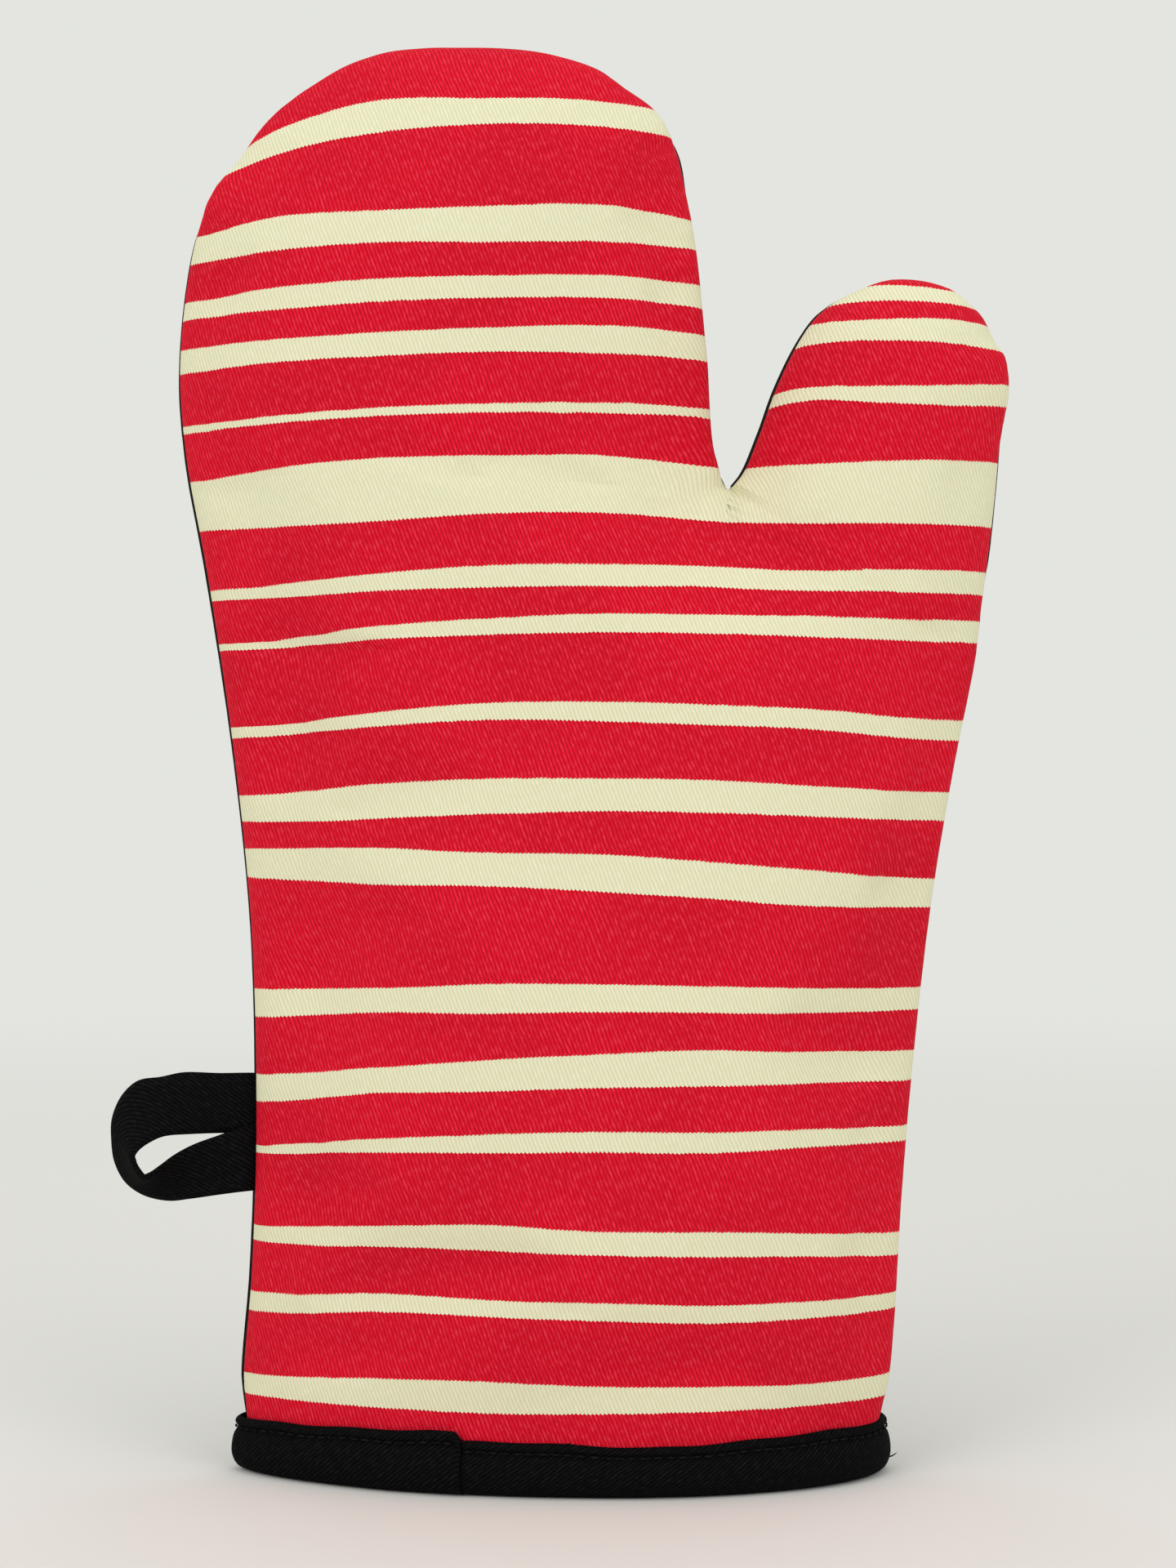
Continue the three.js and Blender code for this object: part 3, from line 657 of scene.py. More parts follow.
@dataclass
class Grids:
    """Rows and columns of places over the mitt seen from the front.

    The hand's grid covers the palm and fingers. The thumb's stands on the stretch of its right
    edge that is the thumb's root line. Both are filled in from their four edges by Coons's rule.
    """

    outline: Outline
    columns: int = 84
    low_rows: int = 92
    root_rows: int = 24
    finger_rows: int = 56
    thumb_rows: int = 40
    lowest: float = 3.0
    crowding: float = 0.8
    finger_ease: float = 0.9
    thumb_ease: float = 1.15

    @staticmethod
    def patch(
        left: np.ndarray, right: np.ndarray, bottom: np.ndarray, top: np.ndarray,
        across: np.ndarray, upward: np.ndarray,
    ) -> np.ndarray:
        """Coons's rule: both pairs of edges blended, less the blend of the corners.

        Args:
            left: the left edge's points, from the bottom up.
            right: the right edge's points.
            bottom: the bottom edge's points, from the left.
            top: the top edge's points.
            across: each column's share of the way across.
            upward: each row's share of the way up.

        Returns:
            The grid of points.
        """
        u = across if across.ndim == 2 else across[None, :]
        u, v = u[..., None], upward[:, None, None]
        sides = (1 - u) * left[:, None] + u * right[:, None]
        ends = (1 - v) * bottom[None] + v * top[None]
        corners = (1 - v) * ((1 - u) * left[0] + u * right[0]) + v * (
            (1 - u) * left[-1] + u * right[-1]
        )
        grid = sides + ends - corners
        grid[:, 0], grid[:, -1] = left, right
        return grid

    def columns_at(self) -> np.ndarray:
        """The columns' shares of the way across, closer together near the seams."""
        share = np.linspace(0, 1, self.columns + 1)
        return share - self.crowding * np.sin(2 * np.pi * share) / (2 * np.pi)

    def hand(self, inset: float) -> np.ndarray:
        """The hand's grid, moved in from the silhouette.

        Args:
            inset: how far to move it in.

        Returns:
            The grid of places, as (x, z).
        """
        line = self.outline
        base_z = line.thumb.at(BASE)[1]
        crotch_z = line.thumb.at(0.0)[1]
        z = np.linspace(self.lowest, base_z, self.low_rows + 1)
        t_left = line.at_height(line.fingers, z, *line.left_edge)
        left = [line.place(line.fingers, t_left, inset)]
        t_right = line.at_height(line.thumb, z, BASE, line.thumb.spans)
        t_right[-1] = BASE
        right = [line.place(line.thumb, t_right, inset)]
        share = (1 - np.cos(np.pi * np.linspace(0, 1, self.root_rows + 1)[1:])) / 2
        z = blend(base_z, crotch_z, share)
        t_left = line.at_height(line.fingers, z, *line.left_edge)
        left.append(line.place(line.fingers, t_left, inset))
        crotch = line.place(line.thumb, 0.0, inset)
        right.append(blend(right[0][-1], crotch, share[:, None]))
        share = np.linspace(0, 1, self.finger_rows + 1)[1:]
        start = line.at_height(line.fingers, crotch_z, *line.left_edge)
        first, last = line.shoulders
        left.append(line.place(line.fingers, blend(start, first, share**self.finger_ease), inset))
        right.append(line.place(line.fingers, blend(line.fingers.spans, last, share), inset))
        left, right = np.vstack(left), np.vstack(right)
        upward = np.concatenate([np.zeros(len(left) - self.finger_rows), share**2])
        across = self.columns_at()
        bottom = blend(left[0], right[0], across[:, None])
        dome = np.linspace(first, last, self.columns + 1)
        top = line.place(line.fingers, dome, inset)
        return self.patch(left, right, bottom, top, across, upward)

    def root(self, hand: np.ndarray) -> np.ndarray:
        """The root line's stretch of the hand's right edge, from the crotch to the base."""
        return hand[self.low_rows : self.low_rows + self.root_rows + 1, -1][::-1]

    def thumb(self, hand: np.ndarray, inset: float) -> np.ndarray:
        """The thumb's grid, on the root line of the hand's grid.

        Args:
            hand: the hand's grid.
            inset: how far to move it in.

        Returns:
            The grid of places, as (x, z).
        """
        line = self.outline
        first, last = line.thumb_shoulders
        share = np.linspace(0, 1, self.thumb_rows + 1)
        left = line.place(line.thumb, first * share**self.thumb_ease, inset)
        right = line.place(line.thumb, blend(float(BASE), last, share), inset)
        bottom = self.root(hand)
        left[0], right[0] = bottom[0], bottom[-1]
        dome = np.linspace(first, last, self.root_rows + 1)
        top = line.place(line.thumb, dome, inset)
        across = (1 - np.cos(np.pi * np.linspace(0, 1, self.root_rows + 1))) / 2
        return self.patch(left, right, bottom, top, across, share)


class Side(Enum):
    """Which half of the mitt, and the sign of its depth."""

    FRONT = -1.0
    BACK = 1.0


@dataclass
class CuffRing:
    """The cuff seen from above: a ring that is fuller on the thumb side."""

    half_depth: float = 30.6
    widest: float = 12.0
    finger_power: float = 0.70
    thumb_power: float = 0.52

    def depth(
        self, x: np.ndarray, left: np.ndarray | float, right: np.ndarray | float, inset: float
    ) -> np.ndarray:
        """Half the cuff's depth: a power of one minus the square of the share of half its width.

        Args:
            x: places across it.
            left: the left end at those places.
            right: the right end.
            inset: how far inside the outer surface to measure.

        Returns:
            The depth at each place.
        """
        left, right = left + inset, right - inset
        share = np.where(
            x < self.widest, (self.widest - x) / (self.widest - left),
            (x - self.widest) / (right - self.widest),
        )
        power = np.where(x < self.widest, self.finger_power, self.thumb_power)
        room = np.clip(1 - np.clip(share, 0, 1) ** 2, 0, 1)
        return (self.half_depth - inset) * room**power


@dataclass
class MittShape:
    """The mitt's surfaces. Each layer's surface lies a set distance inside the outer one."""

    outline: Outline
    grids: Grids
    cuff: CuffRing
    finger_depth: float = 20.5
    thumb_depth: float = 17.5
    hand_round: float = 60.0
    thumb_round: float = 26.0
    fullness: float = 0.55
    seam_inset: float = 1.2
    seam_lobe: float = 2.6
    roll_depth: float = 1.5
    roll_reach: float = 2.2
    cuff_ease: float = 1.3
    narrowing: tuple = (13, 290)
    ring_fades: tuple = (12, 150)
    thumb_ease: tuple = (-52, 26)
    thumb_from: tuple = (14, 50)
    # Each hollow: its depth, its middle and reach in x and in z, and its rise on the back half.
    hollows: tuple = (
        (2.0, 45, 15, 204, 9, 0), (0.9, 52, 10, 180, 7, 0), (0.7, -42, 16, 262, 12, 9),
    )
    crease_x: float = 38.7
    crease_reach: float = 1.5
    crease_fades: tuple = (205, 217)
    crease_share: float = 0.2
    pucker: float = 0.16
    # Each lump: its height, its turns per millimetre in x and z, and its start.
    lumps: tuple = (
        (0.35, 0.055, 0.031, 0.4), (0.3, -0.043, 0.062, 2.1), (0.22, 0.11, -0.05, 4.0),
        (0.18, 0.071, 0.128, 1.2),
    )

    def thumb_share(self, x: np.ndarray, z: np.ndarray) -> np.ndarray:
        """How much a place belongs to the thumb."""
        crotch = self.outline.thumb.at(0.0)
        way = self.thumb_way()
        beyond = (x - crotch[0]) * way[0] + (z - crotch[1]) * way[1]
        return smoothstep(beyond, *self.thumb_ease) * smoothstep(x, *self.thumb_from)

    def thumb_way(self) -> np.ndarray:
        """The direction square to the root line, towards the thumb's tip, as (x, z)."""
        line = unit(self.outline.thumb.at(BASE) - self.outline.thumb.at(0.0))
        return np.array([-line[1], line[0]])

    def dents(self, x: np.ndarray, z: np.ndarray, side: Side) -> np.ndarray:
        """How far the cloth is drawn in over soft hollows, each a bell curve both ways."""
        return sum(
            deep * np.exp(-(((x - mx) / rx) ** 2) - ((z - mz - side.value * rise) / rz) ** 2)
            for deep, mx, rx, mz, rz, rise in self.hollows
        )

    def crease(self, x: np.ndarray, z: np.ndarray) -> np.ndarray:
        """The narrow tuck below the crotch, from 0 beside it to 1 in its middle."""
        middle = self.crease_x + 0.5 * np.sin((z - 221) / 4)
        bell = np.exp(-(((x - middle) / self.crease_reach) ** 2))
        return bell * smoothstep(z, *self.crease_fades)

    def surface(self, places: np.ndarray, inset: float, side: Side) -> np.ndarray:
        """The surface over a grid of places.

        Args:
            places: the grid, as (x, z), already moved in by the inset.
            inset: how far inside the outer surface it lies.
            side: which half.

        Returns:
            The points, as (x, y, z).
        """
        x, z = places[..., 0], places[..., 1]
        distance, outward, roll = self.outline.nearest(places)
        inner = np.maximum(distance - inset - self.seam_inset, 0)
        share = self.thumb_share(x, z)
        low = self.cuff.half_depth - self.cuff_ease
        hand = blend(low, self.finger_depth, smoothstep(z, *self.narrowing))
        full = blend(hand, self.thumb_depth, share) - inset
        reach = blend(self.hand_round, self.thumb_round, share) - inset
        s = np.clip(inner / reach, 0, 1)
        pillow = full * (1 - (1 - s) ** 2) ** self.fullness
        edge = self.seam_inset
        line = self.outline
        left = line.fingers.at(line.at_height(line.fingers, z, *line.left_edge))[..., 0] + edge
        right = line.thumb.at(line.at_height(line.thumb, z, BASE, line.thumb.spans))[..., 0] - edge
        ring = self.cuff.depth(x, left, right, inset)
        depth = blend(ring, pillow, smoothstep(z, *self.ring_fades))
        bulk = smoothstep(inner, 0, 14)
        phase = side.value * 0.8
        lump = sum(a * np.sin(p * x + q * z + r + phase) for a, p, q, r in self.lumps)
        depth = depth + bulk * smoothstep(z, 12, 50) * (lump - self.dents(x, z, side))
        depth = depth * (1 - self.crease_share * self.crease(x, z) * smoothstep(inner, 0.2, 1.5))
        pucker = self.pucker * np.sin(z * 0.83 + 1.7 * np.sin(z * 0.21 + x * 0.13) + x * 0.4)
        depth = depth + pucker * np.exp(-inner / 4) * smoothstep(inner, 0, 1.5)
        shown = side.value * roll
        lobe = 0.4 + 2.0 * smoothstep(shown, -1.0, 0.4) + 0.6 * smoothstep(shown, 0.6, 1.2)
        rise = inner / self.seam_lobe
        bulge = lobe * rise * np.exp(1 - rise - inset / 3) * smoothstep(z, 8, 14)
        tilt = -self.roll_depth * roll * np.exp(-inner / self.roll_reach) * smoothstep(z, 10, 20)
        return np.stack(
            [x + bulge * outward[..., 0], side.value * depth + tilt, z + bulge * outward[..., 1]],
            -1,
        )


@dataclass
class Relaxation:
    """Lets the cloth settle as a sewn bag that is filled a little, held along its seam and cuff."""

    shape: MittShape
    frames: int = 20
    pressure: float = 4.0
    slack: float = -0.012
    furthest: float = 4.0

    def weld(self, rows: int, columns: int, thumb_rows: int) -> dict[str, np.ndarray]:
        """Numbers the points of the four coarse grids so that they share their seams.

        Args:
            rows: rows of points in the hand's grid.
            columns: columns in it.
            thumb_rows: rows in the thumb's grid.

        Returns:
            The vertex numbers of each grid.
        """
        low = self.shape.grids.low_rows // 2
        high = low + self.shape.grids.root_rows // 2
        hand = np.arange(rows * columns).reshape(rows, columns)
        count = hand.size
        thumb = np.empty((thumb_rows, high - low + 1), int)
        thumb[0] = hand[low : high + 1, -1][::-1]
        thumb[1:] = count + np.arange(thumb[1:].size).reshape(thumb[1:].shape)
        count += thumb[1:].size
        hand_back = count + np.arange(rows * columns).reshape(rows, columns)
        hand_back[:, 0], hand_back[-1] = hand[:, 0], hand[-1]
        hand_back[: low + 1, -1] = hand[: low + 1, -1]
        hand_back[high:, -1] = hand[high:, -1]
        count += rows * columns
        thumb_back = count + np.arange(thumb.size).reshape(thumb.shape)
        thumb_back[0] = hand_back[low : high + 1, -1][::-1]
        thumb_back[:, 0], thumb_back[:, -1], thumb_back[-1] = thumb[:, 0], thumb[:, -1], thumb[-1]
        return {"hand": hand, "thumb": thumb, "hand_back": hand_back, "thumb_back": thumb_back}

    def settle(self, grids: dict[str, np.ndarray]) -> dict[str, np.ndarray]:
        """Runs the cloth and returns how far each point of each coarse grid moves.

        Args:
            grids: the points of the four coarse grids, in millimetres.

        Returns:
            The movement of each point, in millimetres.
        """
        index = self.weld(*grids["hand"].shape[:2], grids["thumb"].shape[0])
        points = np.zeros((max(i.max() for i in index.values()) + 1, 3))
        for name in ("hand_back", "thumb_back", "thumb", "hand"):
            points[index[name]] = grids[name]
        quads = np.vstack([grid_quads(i, name.endswith("back")) for name, i in index.items()])
        used, quads = np.unique(quads, return_inverse=True)
        quads = quads.reshape(-1, 4)
        mesh = bpy.data.meshes.new("settling")
        mesh.from_pydata(points[used] * MM, [], quads.tolist())
        bag = bpy.data.objects.new("settling", mesh)
        bpy.context.collection.objects.link(bag)
        seam = set(index["hand"][0]) | set(index["hand_back"][0])
        for name in ("hand", "thumb"):
            both = np.intersect1d(index[name], index[name + "_back"])
            seam |= set(both)
        held = bag.vertex_groups.new(name="held")
        held.add(np.flatnonzero(np.isin(used, list(seam))).tolist(), 1.0, "REPLACE")
        cloth = bag.modifiers.new("cloth", "CLOTH")
        settings = cloth.settings
        settings.quality = 6
        settings.mass = 0.3
        settings.tension_stiffness = 20
        settings.compression_stiffness = 12
        settings.shear_stiffness = 8
        settings.bending_stiffness = 3
        settings.use_pressure = True
        settings.uniform_pressure_force = self.pressure
        settings.shrink_min = self.slack
        settings.vertex_group_mass = "held"
        settings.effector_weights.gravity = 0.0
        cloth.collision_settings.use_collision = False
        scene = bpy.context.scene
        for number in range(1, self.frames + 1):
            scene.frame_set(number)
        final = bag.evaluated_get(bpy.context.evaluated_depsgraph_get()).data
        moved = np.empty(len(final.vertices) * 3)
        final.vertices.foreach_get("co", moved)
        scene.frame_set(1)
        move = np.zeros_like(points)
        move[used] = moved.reshape(-1, 3) / MM - points[used]
        bpy.data.objects.remove(bag)
        bpy.data.meshes.remove(mesh)
        length = np.linalg.norm(move, axis=1, keepdims=True)
        log.info("cloth moved by up to %.1f mm, %.1f on average", length.max(), length.mean())
        move *= np.minimum(1.0, self.furthest / np.maximum(length, 1e-6))
        return {name: move[i] for name, i in index.items()}


# ---- the print ------------------------------------------------------------------------------

STATIONS = (-78, -62, -40, -15, 10, 32, 55, 78, 98)
THUMB_STATIONS = (44, 56, 70, 86, 102)
# Each stripe's lower edge, then its upper edge, at the stations across the mitt.
STRIPES = (
    ((17.5, 17.8, 18, 18, 18.3, 18.5, 18.4, 17.9, 17.9),
     (21.7, 22.7, 24.4, 25.2, 24.2, 23.8, 23.2, 22.9, 22.9)),
    ((35.8, 36.7, 38.9, 39.3, 39, 38, 38, 37.5, 37.5),
     (40.1, 41, 42.7, 42.7, 42.9, 41.9, 41.7, 41, 41)),
    ((51.9, 52.2, 53.3, 53.4, 53.2, 52.4, 51.5, 49, 48.5),
     (54.7, 55.8, 57.9, 59.2, 58.3, 57.9, 56.5, 54.2, 53.5)),
    ((71.4, 72.3, 74, 74.8, 75.2, 74.7, 75.3, 74.8, 74.8),
     (72.5, 73.8, 77, 78.9, 79.7, 79.3, 79.2, 78.2, 78)),
    ((82.4, 83.8, 87, 88.1, 89, 89.2, 89.1, 88.3, 88.2),
     (88.6, 89.7, 92.4, 94.9, 96.3, 97, 96, 95, 94.8)),
    ((102.1, 102.6, 104.6, 104.9, 105.2, 105, 104.4, 104.1, 104),
     (108.3, 108.7, 109.7, 111.3, 111.2, 110.7, 110, 109.1, 109)),
    ((133.9, 133.4, 132.5, 132.3, 131, 129.6, 127.8, 127, 126.6),
     (139.8, 140.1, 140.5, 139.6, 139.2, 137.6, 135.6, 133.3, 132.4)),
    ((146, 146, 146.6, 147.8, 148.5, 148.2, 147.5, 146.6, 146.2),
     (151.6, 152.2, 154.4, 155.6, 155.6, 155.3, 154, 152.7, 152.4)),
    ((164.9, 165.4, 167, 168.3, 168, 167.1, 166.3, 164.3, 163.8),
     (166.5, 167.3, 169.9, 172, 172.3, 171.7, 170.8, 169, 168.5)),
    ((184.4, 184.7, 185.9, 186.8, 187.3, 187.2, 186.5, 185.9, 186),
     (185.5, 186.1, 188.6, 190.4, 191.5, 191.6, 191.2, 190.8, 190.8)),
    ((195.8, 196, 196.6, 197, 197.4, 197.6, 196.6, 196.6, 196.7),
     (197.6, 198, 200.1, 202, 202.4, 202.4, 201.4, 201.7, 201.8)),
    ((211.2, 211.1, 211.6, 213.2, 213.9, 212.9, 211.8, 211.7, 211.8),
     (222.1, 223.8, 225.5, 226.2, 226.7, 225.3, 224.9, 225.7, 226.4)),
    ((233.1, 233.7, 234.6, 235.5, 236, 236.3, 236, 236, 236),
     (234.3, 235.2, 236.4, 237.5, 238.5, 238.4, 238, 238, 238)),
    ((246.3, 247.2, 247.9, 248.9, 249.2, 249.1, 249, 249, 249),
     (251.6, 252.1, 253, 254.1, 255.5, 255, 255, 255, 255)),
    ((258.4, 258.8, 259.9, 260.7, 261.5, 261, 261, 261, 261),
     (262.1, 263.7, 264.9, 265.6, 266.6, 266.2, 266, 266, 266)),
    ((271, 272, 273, 272.9, 273.9, 274.2, 274, 274, 274),
     (277.2, 279.8, 280.2, 281.1, 282.2, 280.6, 280, 280, 280)),
    ((290, 294.6, 298.2, 300.1, 300.1, 299.2, 299, 299, 299),
     (293, 300.8, 306.1, 306.3, 306.4, 304.8, 304, 304, 304)),
)
LAST_SHARED = 11  # the widest stripe, which crosses the crotch
THUMB_STRIPES = (
    ((238.1, 239.6, 238.5, 237.9, 238.7), (241.2, 242.2, 242, 242.5, 243.9)),
    ((250.6, 252.3, 252.5, 251.9, 250.8), (255.4, 257.1, 257.2, 257.5, 256.6)),
    ((259.3, 261.0, 261.9, 261.3, 259.6), (262.2, 264.6, 265.9, 264.8, 262.4)),
)


@dataclass
class Print:
    """Horizontal stripes whose edges wander.

    The print height is the cloth's height, eased so that each edge lies at one value all the way
    across, which lets the finish draw the edges sharply.
    """

    stations: tuple
    stripes: tuple
    below: float = 40.0
    above: float = 60.0

    def __post_init__(self) -> None:
        """Lists the edges from the lowest up, with one beyond each end."""
        edges = np.array([edge for stripe in self.stripes for edge in stripe], float)
        self.edges = np.vstack([edges[0] - self.below, edges, edges[-1] + self.above])
        self.values = self.edges.mean(1)

    def bands(self) -> tuple[tuple[float, float], ...]:
        """The print heights between which each stripe lies."""
        inner = self.values[1:-1]
        return tuple((float(a), float(b)) for a, b in zip(inner[0::2], inner[1::2]))

    def height(self, x: np.ndarray, z: np.ndarray) -> np.ndarray:
        """The print height at each place.

        Args:
            x: the places across.
            z: the places' heights.

        Returns:
            The print heights.
        """
        table = Spline(list(zip(self.stations, *self.edges)))
        t = np.interp(x, self.stations, np.arange(len(self.stations)))
        lines = np.moveaxis(table.at(t), -1, 0)[1:]
        value = np.full(np.shape(z), self.values[0])
        for low, high, from_, to in zip(lines, lines[1:], self.values, self.values[1:]):
            part = from_ + (z - low) / (high - low) * (to - from_)
            value = np.where(z >= low, part, value)
        return value


# ---- the padded halves ----------------------------------------------------------------------


@dataclass
class Folds:
    """Each joint's start and end, in millimetres; its steps only bake each piece's transform, so
    nothing bends.
    """

    shape: MittShape
    finger_start: float = 229.0
    finger_end: float = 287.0
    thumb_reach: float = 34.0

    def fingers(self, piece: bpy.types.Object) -> None:
        """Bakes a piece's transform into its mesh; it does not bend it."""
        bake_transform(piece)

    def thumb(self, piece: bpy.types.Object) -> None:
        """Bakes a piece's transform into its mesh; it does not bend it."""
        x, z = self.shape.outline.thumb.at(0.0)
        way = self.shape.thumb_way() * self.thumb_reach
        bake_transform(piece)


@dataclass
class Layer:
    """One layer of one half, cut as a palm and finger piece and a thumb piece."""

    name: str
    cad_name: str
    side: Side
    outer: float
    inner: float
    slot: str
    hand_finish: bpy.types.Material
    thumb_finish: bpy.types.Material
    coarse: bool = False
    printed: bool = False


class Padding:
    """All the layers of both halves, built over the settled shape."""

    crotch_reach: float = 60.0
    narrow: int = 8  # columns beside the root line, which are too narrow to move apart
    cuff_still: tuple = (13, 45)
    seam_still: tuple = (1.5, 16)
    root_rows: int = 8

    def __init__(self, shape: MittShape, folds: Folds) -> None:
        """Settles the cloth once, for every layer.

        Args:
            shape: the mitt's surfaces.
            folds: the joints, whose steps only bake each piece's transform.
        """
        self.shape = shape
        self.folds = folds
        self.print_hand = Print(STATIONS, STRIPES)
        self.print_thumb = Print(
            THUMB_STATIONS,
            tuple(
                tuple(tuple(np.interp(THUMB_STATIONS, STATIONS, edge)) for edge in stripe)
                for stripe in STRIPES[: LAST_SHARED + 1]
            )
            + THUMB_STRIPES,
        )
        self.move = self.settled()

    def grids(self, inset: float) -> dict[str, np.ndarray]:
        """The hand's and the thumb's places for a layer's surface."""
        hand = self.shape.grids.hand(inset + self.shape.seam_inset)
        thumb = self.shape.grids.thumb(hand, inset + self.shape.seam_inset)
        return {"hand": hand, "thumb": thumb}

    def settled(self) -> dict[str, np.ndarray]:
        """How far the settled cloth lies from the drawn shape.

        Returns:
            The movement at each place of the four grids, faded out at the cuff and the seam.
        """
        places = self.grids(0.0)
        start = {}
        for name, grid in places.items():
            start[name] = self.shape.surface(grid, 0.0, Side.FRONT)[::2, ::2]
            start[name + "_back"] = self.shape.surface(grid, 0.0, Side.BACK)[::2, ::2]
        move = Relaxation(self.shape).settle(start)
        move = {name: refine(grid) for name, grid in move.items()}
        for suffix in ("", "_back"):
            hand, thumb = move["hand" + suffix], move["thumb" + suffix]
            hand[:, -self.narrow :] = hand[:, -self.narrow - 1, None]
            hand *= smoothstep(places["hand"][..., 1], *self.cuff_still)[..., None]
            for name, grid in (("hand", hand), ("thumb", thumb)):
                distance = self.shape.outline.nearest(places[name])[0]
                grid *= smoothstep(distance, *self.seam_still)[..., None]
            fade = smoothstep(np.arange(len(thumb)), self.root_rows, 0)[:, None, None]
            thumb += fade * (self.shape.grids.root(hand) - thumb[0])[None]
        return move

    def points(self, side: Side, inset: float) -> tuple[dict, dict]:
        """A surface's places and its points.

        Args:
            side: which half.
            inset: how far inside the outer surface it lies.

        Returns:
            The hand's and the thumb's places, then their points.
        """
        places = self.grids(inset)
        suffix = "" if side is Side.FRONT else "_back"
        points = {
            name: self.shape.surface(grid, inset, side) + self.move[name + suffix]
            for name, grid in places.items()
        }
        points["thumb"][0] = self.shape.grids.root(points["hand"])
        return places, points

    def normals(self, points: dict, side: Side) -> dict[str, np.ndarray]:
        """The directions the surface faces, the same on both sides of the root line.

        Args:
            points: the hand's and the thumb's points.
            side: which half.

        Returns:
            The hand's and the thumb's directions.
        """
        found = {}
        for name, grid in points.items():
            across = np.gradient(grid, axis=1)
            upward = np.gradient(grid, axis=0)
            found[name] = unit(np.cross(across, upward)) * -side.value
        low = self.shape.grids.low_rows
        root = found["hand"][low : low + self.shape.grids.root_rows + 1]
        shared = unit(root[::-1, -1] + found["thumb"][0])
        root[:, -1] = shared[::-1]
        found["thumb"][0] = shared
        return found

    def flat(self, places: dict) -> dict[str, np.ndarray]:
        """The cloth laid flat.

        Each place is moved out from the middle by how much longer the cloth is than it looks
        from in front: the run of the pillow's curve between there and the middle, less its width.
        Close to the crotch, where outwards turns from one side to the other, it isn't moved.

        Args:
            places: the places of the hand and the thumb.

        Returns:
            The flat places, in millimetres.
        """
        shape = self.shape
        spans = (
            (shape.hand_round, (shape.finger_depth + shape.cuff.half_depth) / 2),
            (shape.thumb_round, shape.thumb_depth),
        )
        laid = {}
        for name, grid in places.items():
            distance, outward, _ = shape.outline.nearest(grid)
            share = shape.thumb_share(grid[..., 0], grid[..., 1])
            extra = []
            for reach, full in spans:
                s = np.linspace(0, reach, 400)
                rise = full * (1 - (1 - s / reach) ** 2) ** shape.fullness
                longer = np.hypot(np.gradient(s), np.gradient(rise)) - np.gradient(s)
                left = longer.sum() - np.cumsum(longer)
                extra.append(np.interp(distance, s, left))
            near = np.linalg.norm(grid - shape.outline.thumb.at(0.0), axis=-1)
            longer = blend(*extra, share) * smoothstep(near, 0.0, self.crotch_reach)
            laid[name] = grid + outward * longer[..., None]
        return laid

    def build(self, layer: Layer) -> None:
        """Makes a layer's palm and finger piece, then its thumb piece.

        Args:
            layer: what to make.
        """
        places, outer = self.points(layer.side, layer.outer)
        inner = self.points(layer.side, layer.inner)[1]
        facing = self.normals(outer, layer.side)
        facing_in = self.normals(inner, layer.side)
        flat = self.flat(places)
        if layer.coarse:
            for found in (outer, inner, facing, facing_in, flat):
                for name in found:
                    found[name] = found[name][::2, ::2]
        nodes = f"{layer.side.name.lower()}_{layer.cad_name}"
        for name, sections in (("hand", ("palm", "fingers")), ("thumb", ("thumb",))):
            turned = layer.side is Side.BACK
            points, quads = closed_sheet(outer[name], inner[name], turned)
            laid = flat[name].reshape(-1, 2)
            surface = Surface(
                points, quads, np.vstack([laid, laid]),
                np.vstack([facing[name].reshape(-1, 3), -facing_in[name].reshape(-1, 3)]),
            )
            if layer.printed:
                design = self.print_hand if name == "hand" else self.print_thumb
                height = design.height(points[:, 0], points[:, 2])
                surface.values["print_height"] = height
            finish = layer.hand_finish if name == "hand" else layer.thumb_finish
            label = layer.name if name == "hand" else f"{layer.name}_of_thumb"
            piece = surface.piece(label, finish)
            (self.folds.fingers if name == "hand" else self.folds.thumb)(piece)
            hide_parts(*(f"{nodes}_{section}" for section in sections))
            self.declare(layer)

    def declare(self, layer: Layer) -> None:
        """Does nothing: no sort of soft piece, padding or a sheet with its cut size, is declared.

        Args:
            layer: the layer it is part of.
        """
        if layer.cad_name == "wadding":
            return


# ---- stitches -------------------------------------------------------------------------------


